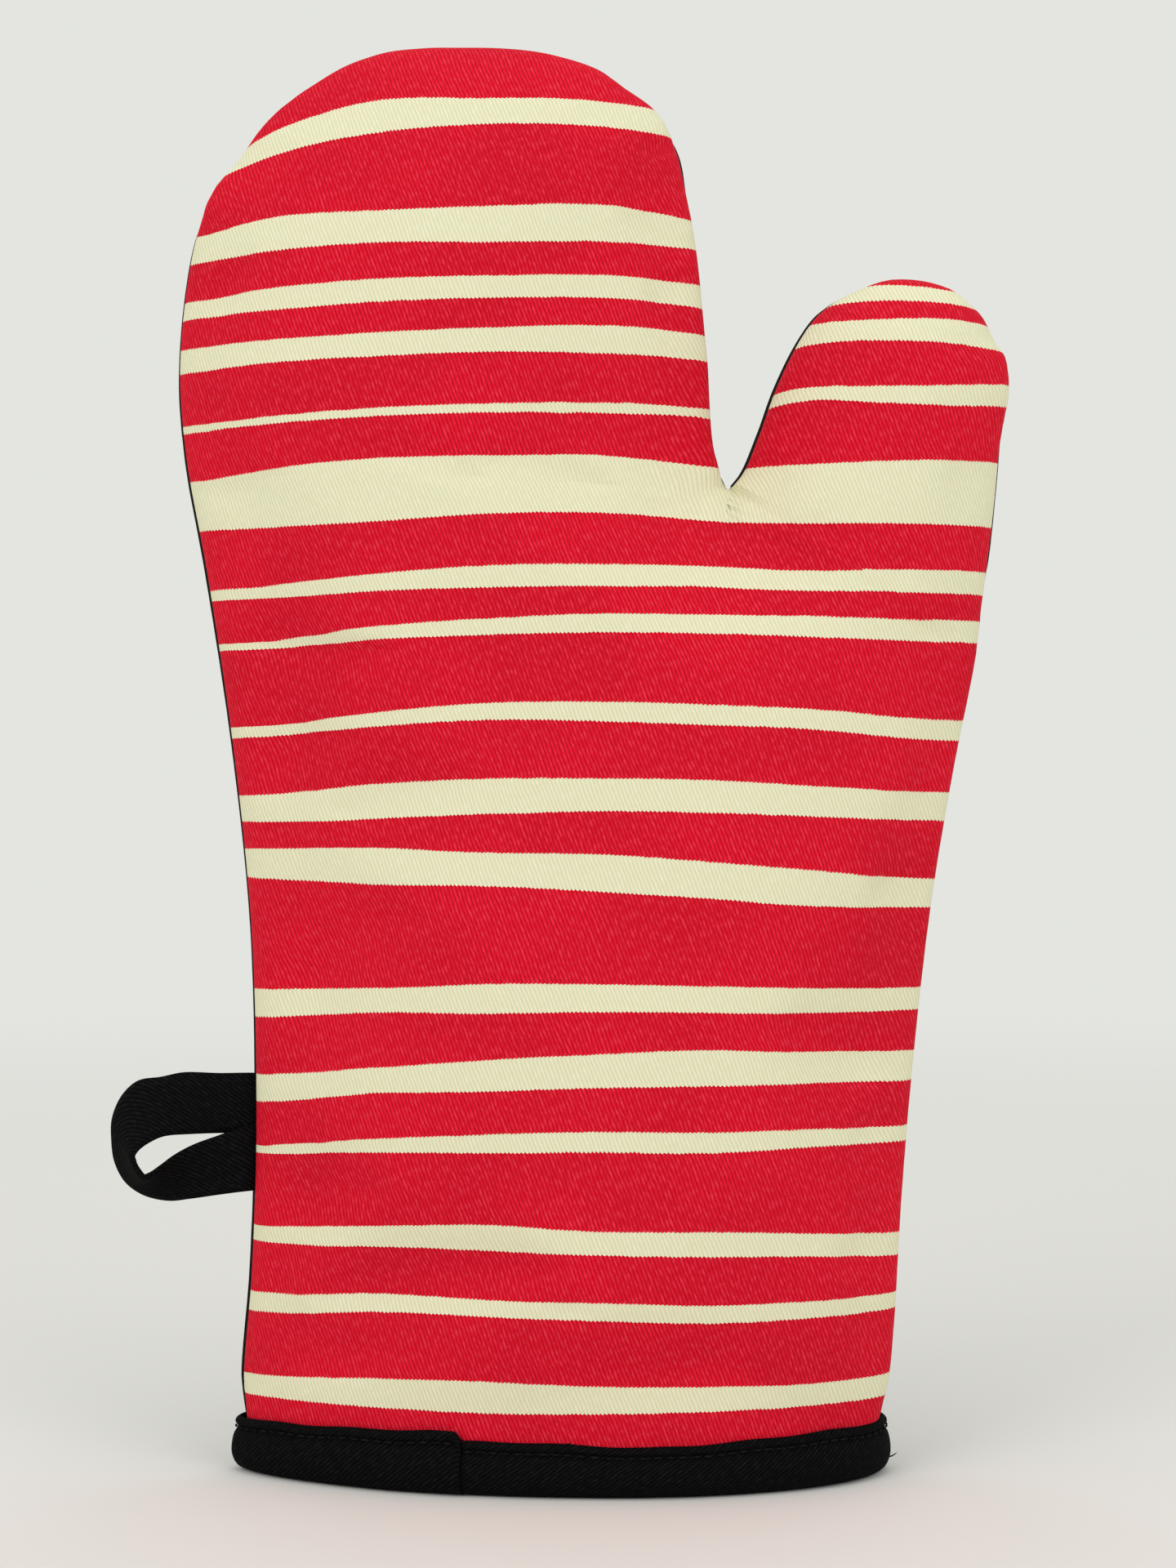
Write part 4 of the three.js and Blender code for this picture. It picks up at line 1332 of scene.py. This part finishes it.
@dataclass
class Stitches:
    """Rows of short stitches: each is a small rounded capsule lying along its way."""

    length: float = 2.1
    pitch: float = 2.7
    thickness: float = 0.5
    around: int = 6
    rings: int = 5
    caps: tuple = ((0, 3, 2, 1), (0, 5, 4, 3))  # the two faces that close a ring of six
    tip: float = 0.12  # how far along its half turn the first ring stands
    reach: float = 0.6  # how far each way its direction is taken

    def spaced(self, path: np.ndarray) -> tuple[np.ndarray, np.ndarray]:
        """Places one pitch apart along a path.

        Args:
            path: close points along it.

        Returns:
            The places and the path's direction at each.
        """
        step = np.linalg.norm(np.diff(path, axis=0), axis=1)
        run = np.concatenate([[0], np.cumsum(step)])
        at = np.arange(self.pitch / 2, run[-1] - self.pitch / 2, self.pitch)
        near = [np.stack([np.interp(at + d, run, path[:, k]) for k in range(3)], -1)
                for d in (-self.reach, 0.0, self.reach)]
        return near[1], unit(near[2] - near[0])

    def surface(self, centres: np.ndarray, ways: np.ndarray) -> Surface:
        """All the stitches as one mesh.

        Each is rings of points round its way; the rings' radius is the height of a half ellipse,
        and two faces close each end.

        Args:
            centres: the middle of each stitch.
            ways: the direction each lies in.

        Returns:
            The mesh.
        """
        other = np.where(np.abs(ways[:, 1:2]) < 0.8, [[0.0, 1.0, 0.0]], [[1.0, 0.0, 0.0]])
        first = unit(np.cross(ways, other))
        second = np.cross(ways, first)
        along = -np.cos(np.linspace(self.tip, np.pi - self.tip, self.rings))
        radius = 0.5 * self.thickness * np.sqrt(1 - along**2)
        angle = 2 * np.pi * np.arange(self.around) / self.around
        ring = (
            first[:, None, None] * np.cos(angle)[None, None, :, None]
            + second[:, None, None] * np.sin(angle)[None, None, :, None]
        )
        points = (
            centres[:, None, None]
            + ways[:, None, None] * (0.5 * self.length * along)[None, :, None, None]
            + ring * radius[None, :, None, None]
        )
        count = len(centres)
        index = np.arange(self.rings * self.around).reshape(self.rings, self.around)
        closed = np.concatenate([index, index[:, :1]], 1)
        body = grid_quads(closed, False)
        last = (self.rings - 1) * self.around
        far = [[last + a for a in reversed(cap)] for cap in self.caps]
        one = np.vstack([body, self.caps, far])
        quads = (one[None] + (np.arange(count) * index.size)[:, None, None]).reshape(-1, 4)
        return Surface(points.reshape(-1, 3), quads)


@dataclass
class SeamThread:
    """The thread that joins the halves, seen as small stitches down in the seam."""

    shape: MittShape
    folds: Folds
    stitches: Stitches = field(default_factory=lambda: Stitches(1.3, 2.4, 0.42))
    lowest: float = 14.0
    thumb_from: float = 0.15
    slant: float = 0.5

    def path(self, curve: Spline, low: float, high: float, inset: float) -> np.ndarray:
        """The seam between two places of one side.

        Args:
            curve: the side.
            low: the place along it where the seam starts.
            high: the place where it ends.
            inset: how far in from the silhouette it lies.

        Returns:
            Close points along it.
        """
        t = np.linspace(low, high, 900)
        place = self.shape.outline.place(curve, t, inset)
        roll = self.shape.outline.finger_roll
        if curve is self.shape.outline.thumb:
            roll = self.shape.outline.thumb_roll
        tilt = -self.shape.roll_depth * np.interp(t, np.arange(len(roll)), roll)
        return np.stack([place[:, 0], tilt, place[:, 1]], -1)

    def build(self, name: str, inset: float, finish: bpy.types.Material, nodes: str) -> None:
        """Makes the seam's two pieces: round the palm and fingers, and round the thumb.

        Args:
            name: the first piece's name.
            inset: how far inside the outer surface's seam it lies.
            finish: the thread.
            nodes: the start of the names of the nodes that they replace.
        """
        line = self.shape.outline
        low = float(line.at_height(line.fingers, self.lowest, *line.left_edge))
        high = float(line.at_height(line.thumb, self.lowest, BASE, line.thumb.spans))
        depth = self.shape.seam_inset + inset
        runs = {
            "": [(line.fingers, low, line.fingers.spans), (line.thumb, BASE, high)],
            "_of_thumb": [(line.thumb, self.thumb_from, BASE)],
        }
        sections = {"": ("left", "fingers", "crotch", "right"), "_of_thumb": ("thumb",)}
        for suffix, stretches in runs.items():
            found = [self.stitches.spaced(self.path(*run, depth)) for run in stretches]
            centres = np.vstack([f[0] for f in found])
            ways = np.vstack([f[1] for f in found])
            ways = unit(ways + np.array([0.0, self.slant, 0.0]))
            piece = self.stitches.surface(centres, ways).piece(name + suffix, finish)
            (self.folds.thumb if suffix else self.folds.fingers)(piece)
            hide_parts(*(f"{nodes}_{s}" for s in sections[suffix]))


# ---- the cuff -------------------------------------------------------------------------------


@dataclass
class CuffBinding:
    """Twill tape folded over the raw edges and lapped over its own start on the front.

    The tape's section is carried round the cuff. It starts under the lap, goes right round and
    ends on top, where it stands out a little further.
    """

    shape: MittShape
    lap_end: float = -20.6
    lap_length: float = 13.0
    lap_lift: float = 0.75
    around: int = 420
    section: tuple = (
        (0.3, 0.35), (0.85, 0.1), (1.35, -0.4), (1.45, -1.1), (0.9, -1.9), (1.15, -2.6),
        (1.75, -3.6), (2.3, -6.4), (2.2, -8.6), (1.2, -10.8), (-0.6, -11.8), (-3.6, -12.0),
        (-6.4, -11.7), (-8.2, -10.6), (-9.2, -8.4), (-9.3, -6.0), (-8.8, -3.4), (-8.1, -2.4),
        (-8.7, -1.4), (-8.4, -0.4), (-7.4, 0.0), (-7.4, -9.4), (-6.6, -10.6), (-3.5, -10.9),
        (-0.4, -10.6), (0.35, -9.4),
    )
    front_top: tuple = (
        (-75, 12.0), (-56, 12.3), (-42, 12.8), (-28, 13.6), (-22.2, 13.6), (-20.8, 12.6),
        (-20.4, 11.6), (-8, 11.5), (20, 11.0), (47, 11.6), (60, 12.1), (75, 12.1),
    )
    width: float = 12.0
    tucked_top: float = 11.6
    profile_points: int = 75
    middle_out: float = -3.5
    groove: float = 1.9

    def ring(self) -> tuple[np.ndarray, np.ndarray, np.ndarray]:
        """The cuff's outer surface from above, once round and a lap more.

        Returns:
            Evenly spaced places as (x, y), the way out at each, and the distance gone.
        """
        turn = np.linspace(0, 2 * np.pi, 2400)
        x = (CUFF_LEFT + CUFF_RIGHT) / 2 + (CUFF_RIGHT - CUFF_LEFT) / 2 * np.cos(turn)
        depth = self.shape.cuff.depth(x, CUFF_LEFT, CUFF_RIGHT, 0.0)
        y = np.where(turn < np.pi, depth, -depth)
        loop = np.stack([x, y], -1)[:-1]
        start = np.argmin(np.where(loop[:, 1] < 0, np.abs(loop[:, 0] - self.lap_end), np.inf))
        loop = np.roll(loop, -start, axis=0)
        run = np.concatenate(
            [[0], np.cumsum(np.linalg.norm(np.diff(loop, axis=0, append=loop[:1]), axis=1))]
        )
        whole = run[-1]
        at = np.linspace(-self.lap_length, whole, self.around)
        closed = np.vstack([loop, loop[:1]])
        places = np.stack([np.interp(at % whole, run, closed[:, k]) for k in (0, 1)], -1)
        places[-1] = loop[0]
        smooth = places.copy()
        smooth[1:-1] = (places[:-2] + 2 * places[1:-1] + places[2:]) / 4
        along = unit(np.gradient(smooth, axis=0))
        return smooth, np.stack([along[:, 1], -along[:, 0]], -1), at

    def lift(self, at: np.ndarray) -> np.ndarray:
        """How far the tape stands out: most over the lap, easing off before it."""
        start = at[-1] - self.lap_length
        return self.lap_lift * smoothstep(at, start - 22, start + 2)

    def top(self, places: np.ndarray, at: np.ndarray) -> np.ndarray:
        """The height of the tape's upper edge.

        Args:
            places: places round the cuff, as (x, y).
            at: how far round it each is.

        Returns:
            The heights.
        """
        x, heights = zip(*self.front_top)
        front = np.interp(places[:, 0], x, heights)
        front = np.where(at < 0.5, self.tucked_top, front)
        wander = 0.22 * np.sin(at * 0.11) + 0.14 * np.sin(at * 0.31 + 1.0)
        return blend(front, self.width, smoothstep(places[:, 1], -8, 4)) + wander

    def build(self, finish: bpy.types.Material) -> None:
        """Makes the binding.

        Its section is a closed smooth curve of distances out and heights below the top.

        Args:
            finish: the tape.
        """
        places, out, at = self.ring()
        curve = Spline(self.section[-2:] + self.section + self.section[:3])
        count = self.profile_points
        profile = curve.at(np.linspace(2, 2 + len(self.section), count + 1)[:-1])
        lift = self.lift(at)[:, None]
        swell = 1 + 0.03 * np.sin(at * 0.17)[:, None]
        n = profile[None, :, 0]
        n = n + lift * np.clip((n - self.middle_out) / 4, -1, 1)
        n = np.where(n > 0, n * swell, n)
        share = -profile[None, :, 1] / self.width
        z = self.top(places, at)[:, None] * (1 - share) + lift * 0.3 * (1 - share)
        points = np.stack([
            places[:, None, 0] + n * out[:, None, 0],
            places[:, None, 1] + n * out[:, None, 1],
            z - z.min(),
        ], -1)
        index = np.arange(len(at) * count).reshape(len(at), count)
        quads = grid_quads(np.concatenate([index, index[:, :1]], 1), False)
        half = count // 2
        strip = [[k, k + 1, count - 2 - k, count - 1 - k] for k in range(half - 1)]
        last = index[-1, 0]
        ends = strip + [[last + k for k in reversed(q)] for q in strip]
        run = np.concatenate([[0], np.cumsum(np.linalg.norm(np.diff(profile, axis=0), axis=1))])
        flat = np.stack(np.broadcast_arrays(at[:, None], run[None, :]), -1).reshape(-1, 2)
        surface = Surface(points.reshape(-1, 3), np.vstack([quads, np.array(ends)]), flat)
        piece = surface.piece("cuff_binding_tape", finish)
        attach(piece, "palm")
        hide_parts("cuff_binding")

    def stitch(self, name: str, out_by: float, finish: bpy.types.Material) -> None:
        """Makes one side's row of topstitching, down in the tape's groove.

        Args:
            name: the node that it replaces, which also starts the piece's name.
            out_by: how far out from the ring it lies.
            finish: the thread.
        """
        places, out, at = self.ring()
        lift = self.lift(at)
        reach = out_by + (lift if out_by > 0 else -lift)
        path = np.stack([
            places[:, 0] + reach * out[:, 0], places[:, 1] + reach * out[:, 1],
            self.top(places, at) - self.groove,
        ], -1)[at > 0]
        stitches = Stitches(2.2, 2.75, 0.62)
        piece = stitches.surface(*stitches.spaced(path)).piece(f"{name}_stitches", finish)
        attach(piece, "palm")
        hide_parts(name)


# ---- the hanging loop -----------------------------------------------------------------------


@dataclass
class HangingLoop:
    """A folded tape whose ends lie one above the other in the side seam.

    It is a strip ruled between its two edges. At the seam it lies flat in the seam's plane and at
    the turn it stands on edge, so that it makes a shallow cone with an eye through it.
    """

    outer_edge: tuple = (
        (-63.5, 0.5, 89.2), (-67.2, 0.4, 89.2), (-70.5, -0.5, 89.3), (-76.5, -0.2, 89.2),
        (-84.8, 1.6, 89.2),
        (-90.2, 3.2, 88.0), (-95.6, 4.6, 87.0), (-99.4, 5.6, 83.6), (-101.7, 6.0, 78.4),
        (-101.9, 6.2, 73.4), (-101.2, 6.2, 68.4), (-98.8, 6.1, 63.9), (-94.8, 5.8, 61.0),
        (-88.9, 4.4, 59.8), (-83, 2.0, 60.6), (-76.5, -0.6, 61.8), (-70.5, -1.9, 62.7),
        (-67.2, -0.2, 62.8), (-63.5, 0.2, 62.8),
    )
    inner_edge: tuple = (
        (-63.5, 0.5, 76.0), (-67.2, 0.4, 75.9), (-70.5, -0.5, 75.8), (-76, -0.8, 75.7),
        (-82.5, -1.9, 75.6),
        (-88.6, -3.6, 75.3), (-91.4, -4.6, 74.2), (-94.0, -5.4, 72.4), (-95.0, -6.0, 70.6),
        (-94.6, -6.2, 69.0), (-93.4, -6.3, 67.3), (-92.0, -6.2, 66.2), (-90.4, -5.9, 67.6),
        (-87.2, -5.0, 70.5), (-82.5, -3.8, 73.2), (-76.5, -2.8, 75.4), (-70.5, -2.0, 77.4),
        (-67.2, -0.2, 77.8), (-63.5, 0.2, 77.8),
    )
    thickness: float = 1.7
    along: int = 110
    across: int = 12
    width: float = 13.5
    stitch_columns: tuple = (0.13, 0.87)
    fold_from: tuple = (-0.0672, 0, 0.0755)
    fold_to: tuple = (-0.0742, 0, 0.0755)

    def strip(self) -> tuple[np.ndarray, np.ndarray]:
        """The tape's middle surface, a little cupped, and the way it faces.

        Returns:
            The points and the directions, as grids of rows along the tape.
        """
        t = np.linspace(0, len(self.outer_edge) - 1, self.along)
        outer, inner = Spline(self.outer_edge).at(t), Spline(self.inner_edge).at(t)
        share = np.linspace(0, 1, self.across)[None, :, None]
        middle = blend(outer[:, None], inner[:, None], share)
        along = np.gradient(middle, axis=0)
        face = unit(np.cross(middle[:, -1:] - middle[:, :1], along))
        cup = 0.5 * np.sin(np.pi * share) * np.sin(np.linspace(0, np.pi, self.along))[:, None, None]
        return middle + cup * face, face

    def build(self, finish: bpy.types.Material) -> None:
        """Makes the tape, with rounded edges and a groove pressed under each row of stitches.

        Args:
            finish: the tape.
        """
        middle, face = self.strip()
        share = np.linspace(0, 1, self.across)[None, :, None]
        round_edge = np.sqrt(np.clip(1 - (2 * share - 1) ** 8, 0.02, 1))
        from_edge = np.minimum(share, 1 - share) * 13.0
        pressed = 1 - 0.25 * np.exp(-(((from_edge - 1.6) / 0.5) ** 2))
        half = 0.5 * self.thickness * round_edge * pressed
        points, quads = closed_sheet(middle + half * face, middle - half * face)
        step = np.linalg.norm(np.diff(middle[:, self.across // 2], axis=0), axis=1)
        run = np.concatenate([[0], np.cumsum(step)])
        width = np.linspace(0, self.width, self.across)
        flat = np.stack(np.broadcast_arrays(run[:, None], width[None]), -1).reshape(-1, 2)
        surface = Surface(points, quads, np.vstack([flat, flat]))
        piece = surface.piece("hanging_loop_tape", finish)
        self.hang(piece)
        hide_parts("hanging_loop", "loop_tail_upper", "loop_tail_lower")

    def stitch(self, finish: bpy.types.Material) -> None:
        """Makes the two rows of edge stitching on both faces.

        Args:
            finish: the thread.
        """
        middle, face = self.strip()
        stitches = Stitches(1.9, 2.4, 0.42)
        centres, ways = [], []
        for column in self.stitch_columns:
            at = column * (self.across - 1)
            low = int(at)
            line = blend(middle[:, low], middle[:, low + 1], at - low)
            for sign in (-1, 1):
                path = line + sign * 0.36 * self.thickness * face[:, 0]
                found = stitches.spaced(path[10:-10])
                centres.append(found[0])
                ways.append(found[1])
        made = stitches.surface(np.vstack(centres), np.vstack(ways))
        piece = made.piece("loop_edge_stitches", finish)
        self.hang(piece)
        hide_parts("loop_edge_stitching")

    def hang(self, piece: bpy.types.Object) -> None:
        """Bakes a piece's transform into its mesh; it does not bend it."""
        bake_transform(piece)


# ---- loose threads --------------------------------------------------------------------------


@dataclass
class LooseThreads:
    """Short ends of sewing thread that stand out of the cuff's topstitching."""

    ways: tuple = (
        ((-29.0, -30.2, 12.6), (-27.9, -30.9, 13.9), (-27.0, -31.0, 14.3), (-26.2, -30.9, 13.9)),
        ((-28.0, -30.4, 12.9), (-27.4, -30.9, 14.0), (-26.9, -31.0, 14.9)),
        ((1.0, -30.6, 10.8), (2.0, -31.2, 12.0), (3.0, -31.2, 12.2)),
        ((73.9, -2.0, 3.0), (74.9, -2.6, 3.3), (75.6, -2.9, 3.8), (76.1, -3.0, 4.2)),
    )
    radius: float = 0.2
    sides: int = 5
    steps: int = 16

    def build(self, finish: bpy.types.Material) -> None:
        """Makes them as thin tubes that end in a point.

        Args:
            finish: the thread.
        """
        points, quads, start = [], [], 0
        sides, steps = self.sides, self.steps
        angle = 2 * np.pi * np.arange(sides) / sides
        for way in self.ways:
            curve = Spline(way)
            t = np.linspace(0, curve.spans, steps)
            centre, along = curve.at(t), curve.direction(t)
            first = unit(np.cross(along, [0.3, 1.0, 0.2]))
            second = np.cross(along, first)
            size = self.radius * np.sqrt(np.linspace(1, 0.02, steps))[:, None, None]
            turn = (
                first[:, None] * np.cos(angle)[:, None] + second[:, None] * np.sin(angle)[:, None]
            )
            points.append((centre[:, None] + size * turn).reshape(-1, 3))
            index = start + np.arange(steps * sides).reshape(steps, sides)
            quads.append(grid_quads(np.concatenate([index, index[:, :1]], 1), False))
            start += steps * sides
        surface = Surface(np.vstack(points), np.vstack(quads))
        piece = surface.piece("loose_thread_ends", finish)
        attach(piece, "palm")


# ---- the stage ------------------------------------------------------------------------------


@dataclass
class Stage:
    """A pale floor under soft even light, and a camera level with the mitt's middle.

    The floor is a wide disc. Away from the mitt it turns smoothly into the backdrop's own light,
    so no horizon shows from any side.
    """

    floor: Colour = (0.755, 0.742, 0.728)
    backdrop: Colour = (0.774, 0.783, 0.745)
    radius: float = 5.0
    fade_from: float = 0.25
    fade_full: float = 1.5
    middle: tuple = (0.0, 0.0, 0.15)
    camera_at: tuple = (0.0066, -0.700, 0.1544)
    lens: float = 71.2
    sensor: float = 36.0
    # Each lamp's name, place in metres, width in metres and power in watts.
    lamps: tuple = (
        ("key_light", (-1.0, -1.3, 1.0), 1.0, 8.3), ("fill_light", (1.1, -1.3, 0.8), 1.0, 6.2),
        ("top_light", (0.0, 0.2, 1.7), 1.4, 4.3),
    )

    def paper(self) -> bpy.types.Material:
        """The floor's finish: matt paper that turns into plain light further out."""
        graph = Graph("studio_paper")
        place = graph.node("ShaderNodeTexCoord").outputs["Object"]
        out = graph.node("ShaderNodeVectorMath", {0: place}, operation="LENGTH").outputs["Value"]
        grain = graph.noise(place, 6.0)
        deeper = tuple(0.99 * c for c in self.floor)
        graph.finish(graph.mix(grain, self.floor, deeper), 0.95, 0.05)
        light = graph.node("ShaderNodeEmission", {"Color": (*self.backdrop, 1.0)})
        share = graph.ramp(out, self.fade_from, self.fade_full)
        mixed = graph.node(
            "ShaderNodeMixShader", {0: share, 1: graph.shader.outputs[0], 2: light.outputs[0]}
        )
        graph.join(mixed.outputs[0], graph.tree.nodes["Material Output"].inputs["Surface"])
        return graph.material

    def disc(self) -> bpy.types.Object:
        """The floor: rings of points that widen outwards, round one point in the middle."""
        out = self.radius * np.linspace(0, 1, 24)[1:] ** 2
        turn = np.linspace(0, 2 * np.pi, 97)[:-1]
        rings = np.stack([
            out[:, None] * np.cos(turn), out[:, None] * np.sin(turn),
            np.zeros((len(out), len(turn))),
        ], -1)
        points = np.vstack([rings.reshape(-1, 3), [[0.0, 0.0, 0.0]]]) / MM
        index = np.arange(len(out) * len(turn)).reshape(len(out), -1)
        quads = grid_quads(np.concatenate([index, index[:, :1]], 1), True)
        hub = np.full(len(turn) // 2, len(points) - 1)
        middle = np.stack([hub, index[0, 0::2], index[0, 1::2], np.roll(index[0, 0::2], -1)], -1)
        return Surface(points, np.vstack([quads, middle])).piece("studio_floor", self.paper())

    def light(self, name: str, at: tuple, size: float, power: float) -> None:
        """Adds a square soft light that faces the mitt's middle.

        Args:
            name: its name.
            at: where it stands, in metres.
            size: its width.
            power: its power, in watts.
        """
        lamp = bpy.data.lights.new(name, "AREA")
        lamp.size = size
        lamp.energy = power
        made = bpy.data.objects.new(name, lamp)
        made.location = at
        aim = np.array(self.middle) - np.array(at)
        tilt = math.atan2(math.hypot(aim[0], aim[1]), -aim[2])
        made.rotation_euler = (tilt, 0.0, math.atan2(aim[0], -aim[1]) + math.pi)
        bpy.context.collection.objects.link(made)

    def build(self) -> None:
        """Sets up the floor, the backdrop's light, the lamps and the camera."""
        self.disc()
        world = bpy.data.worlds.new("studio")
        world.use_nodes = True
        sky = world.node_tree.nodes["Background"]
        sky.inputs[0].default_value = (*self.backdrop, 1.0)
        sky.inputs[1].default_value = 1.0
        bpy.context.scene.world = world
        for lamp in self.lamps:
            self.light(*lamp)
        view = bpy.data.cameras.new("camera")
        view.lens = self.lens
        view.sensor_width = self.sensor
        camera = bpy.data.objects.new("camera", view)
        camera.location = self.camera_at
        camera.rotation_euler = (math.pi / 2, 0.0, 0.0)
        bpy.context.collection.objects.link(camera)
        bpy.context.scene.camera = camera
        bpy.context.scene.view_settings.view_transform = "Standard"


# ---- the whole mitt -------------------------------------------------------------------------

# each cloth's yarn colour, its valleys' painted shade and its raised threads' painted highlight
RED = {"yarn": (0.75, 0.007, 0.030), "shaded_valley": (0.47, 0.001, 0.009), "highlight_and_lint": (0.82, 0.045, 0.085)}
BLACK = {
    "yarn": (0.0046, 0.0044, 0.0046), "shaded_valley": (0.0015, 0.0015, 0.0016),
    "highlight_and_lint": (0.012, 0.012, 0.0125),
}


def main() -> None:
    """Builds the mitt, piece by piece, and the stage."""
    logging.basicConfig(level=logging.INFO, format="%(name)s: %(message)s")
    outline = Outline()
    shape = MittShape(outline, Grids(outline), CuffRing())
    folds = Folds(shape)
    padding = Padding(shape, folds)
    red_hand = PrintedTwill("printed_twill", **RED, bands=padding.print_hand.bands()).material()
    red_thumb = PrintedTwill(
        "printed_twill_thumb", **RED, bands=padding.print_thumb.bands()
    ).material()
    black = Twill("black_twill", **BLACK, gloss=0.03).material()
    tape = Twill(
        "binding_twill", **BLACK, wales=Wales.SHALLOW, pitch=0.8, lint=0.3, gloss=0.03
    ).material()
    fluff = PlainFinish("wadding_fibre", (0.82, 0.80, 0.74), (0.74, 0.72, 0.66), 0.2).material()
    lining = PlainFinish("lining_cotton", (0.022, 0.022, 0.025), (0.03, 0.03, 0.033), 2.0).material()
    thread = PlainFinish(
        "sewing_thread", (0.004, 0.004, 0.0042), (0.012, 0.012, 0.0125), 1.2, 0.8, gloss=0.03
    ).material()
    seam = PlainFinish(
        "seam_thread", (0.006, 0.006, 0.0065), (0.42, 0.33, 0.32), 0.5, 0.7, gloss=0.05,
        other_from=0.64, other_full=0.7,
    ).material()
    for side, cloth, thumb_cloth, slot in (
        (Side.FRONT, red_hand, red_thumb, "printed_twill"),
        (Side.BACK, black, black, "black_twill"),
    ):
        half = side.name.lower()
        printed = side is Side.FRONT
        for layer in (
            Layer(f"{half}_panel", "shell", side, 0.0, 0.8, slot, cloth, thumb_cloth, printed=printed),
            Layer(f"{half}_wadding", "wadding", side, 1.1, 6.1, "wadding", fluff, fluff, coarse=True),
            Layer(f"{half}_lining", "lining", side, 6.4, 7.0, "lining", lining, lining, coarse=True),
        ):
            padding.build(layer)
    seams = SeamThread(shape, folds)
    seams.build("side_seam_stitches", 0.15, seam, "side_seam_thread")
    seams.build("lining_seam_stitches", 6.2, thread, "lining_seam_thread")
    binding = CuffBinding(shape)
    binding.build(tape)
    binding.stitch("cuff_topstitch", 1.35, thread)
    binding.stitch("cuff_understitch", -8.45, thread)
    loop = HangingLoop()
    loop.build(tape)
    loop.stitch(thread)
    LooseThreads().build(thread)
    Stage().build()


if __name__ == "__main__":
    main()
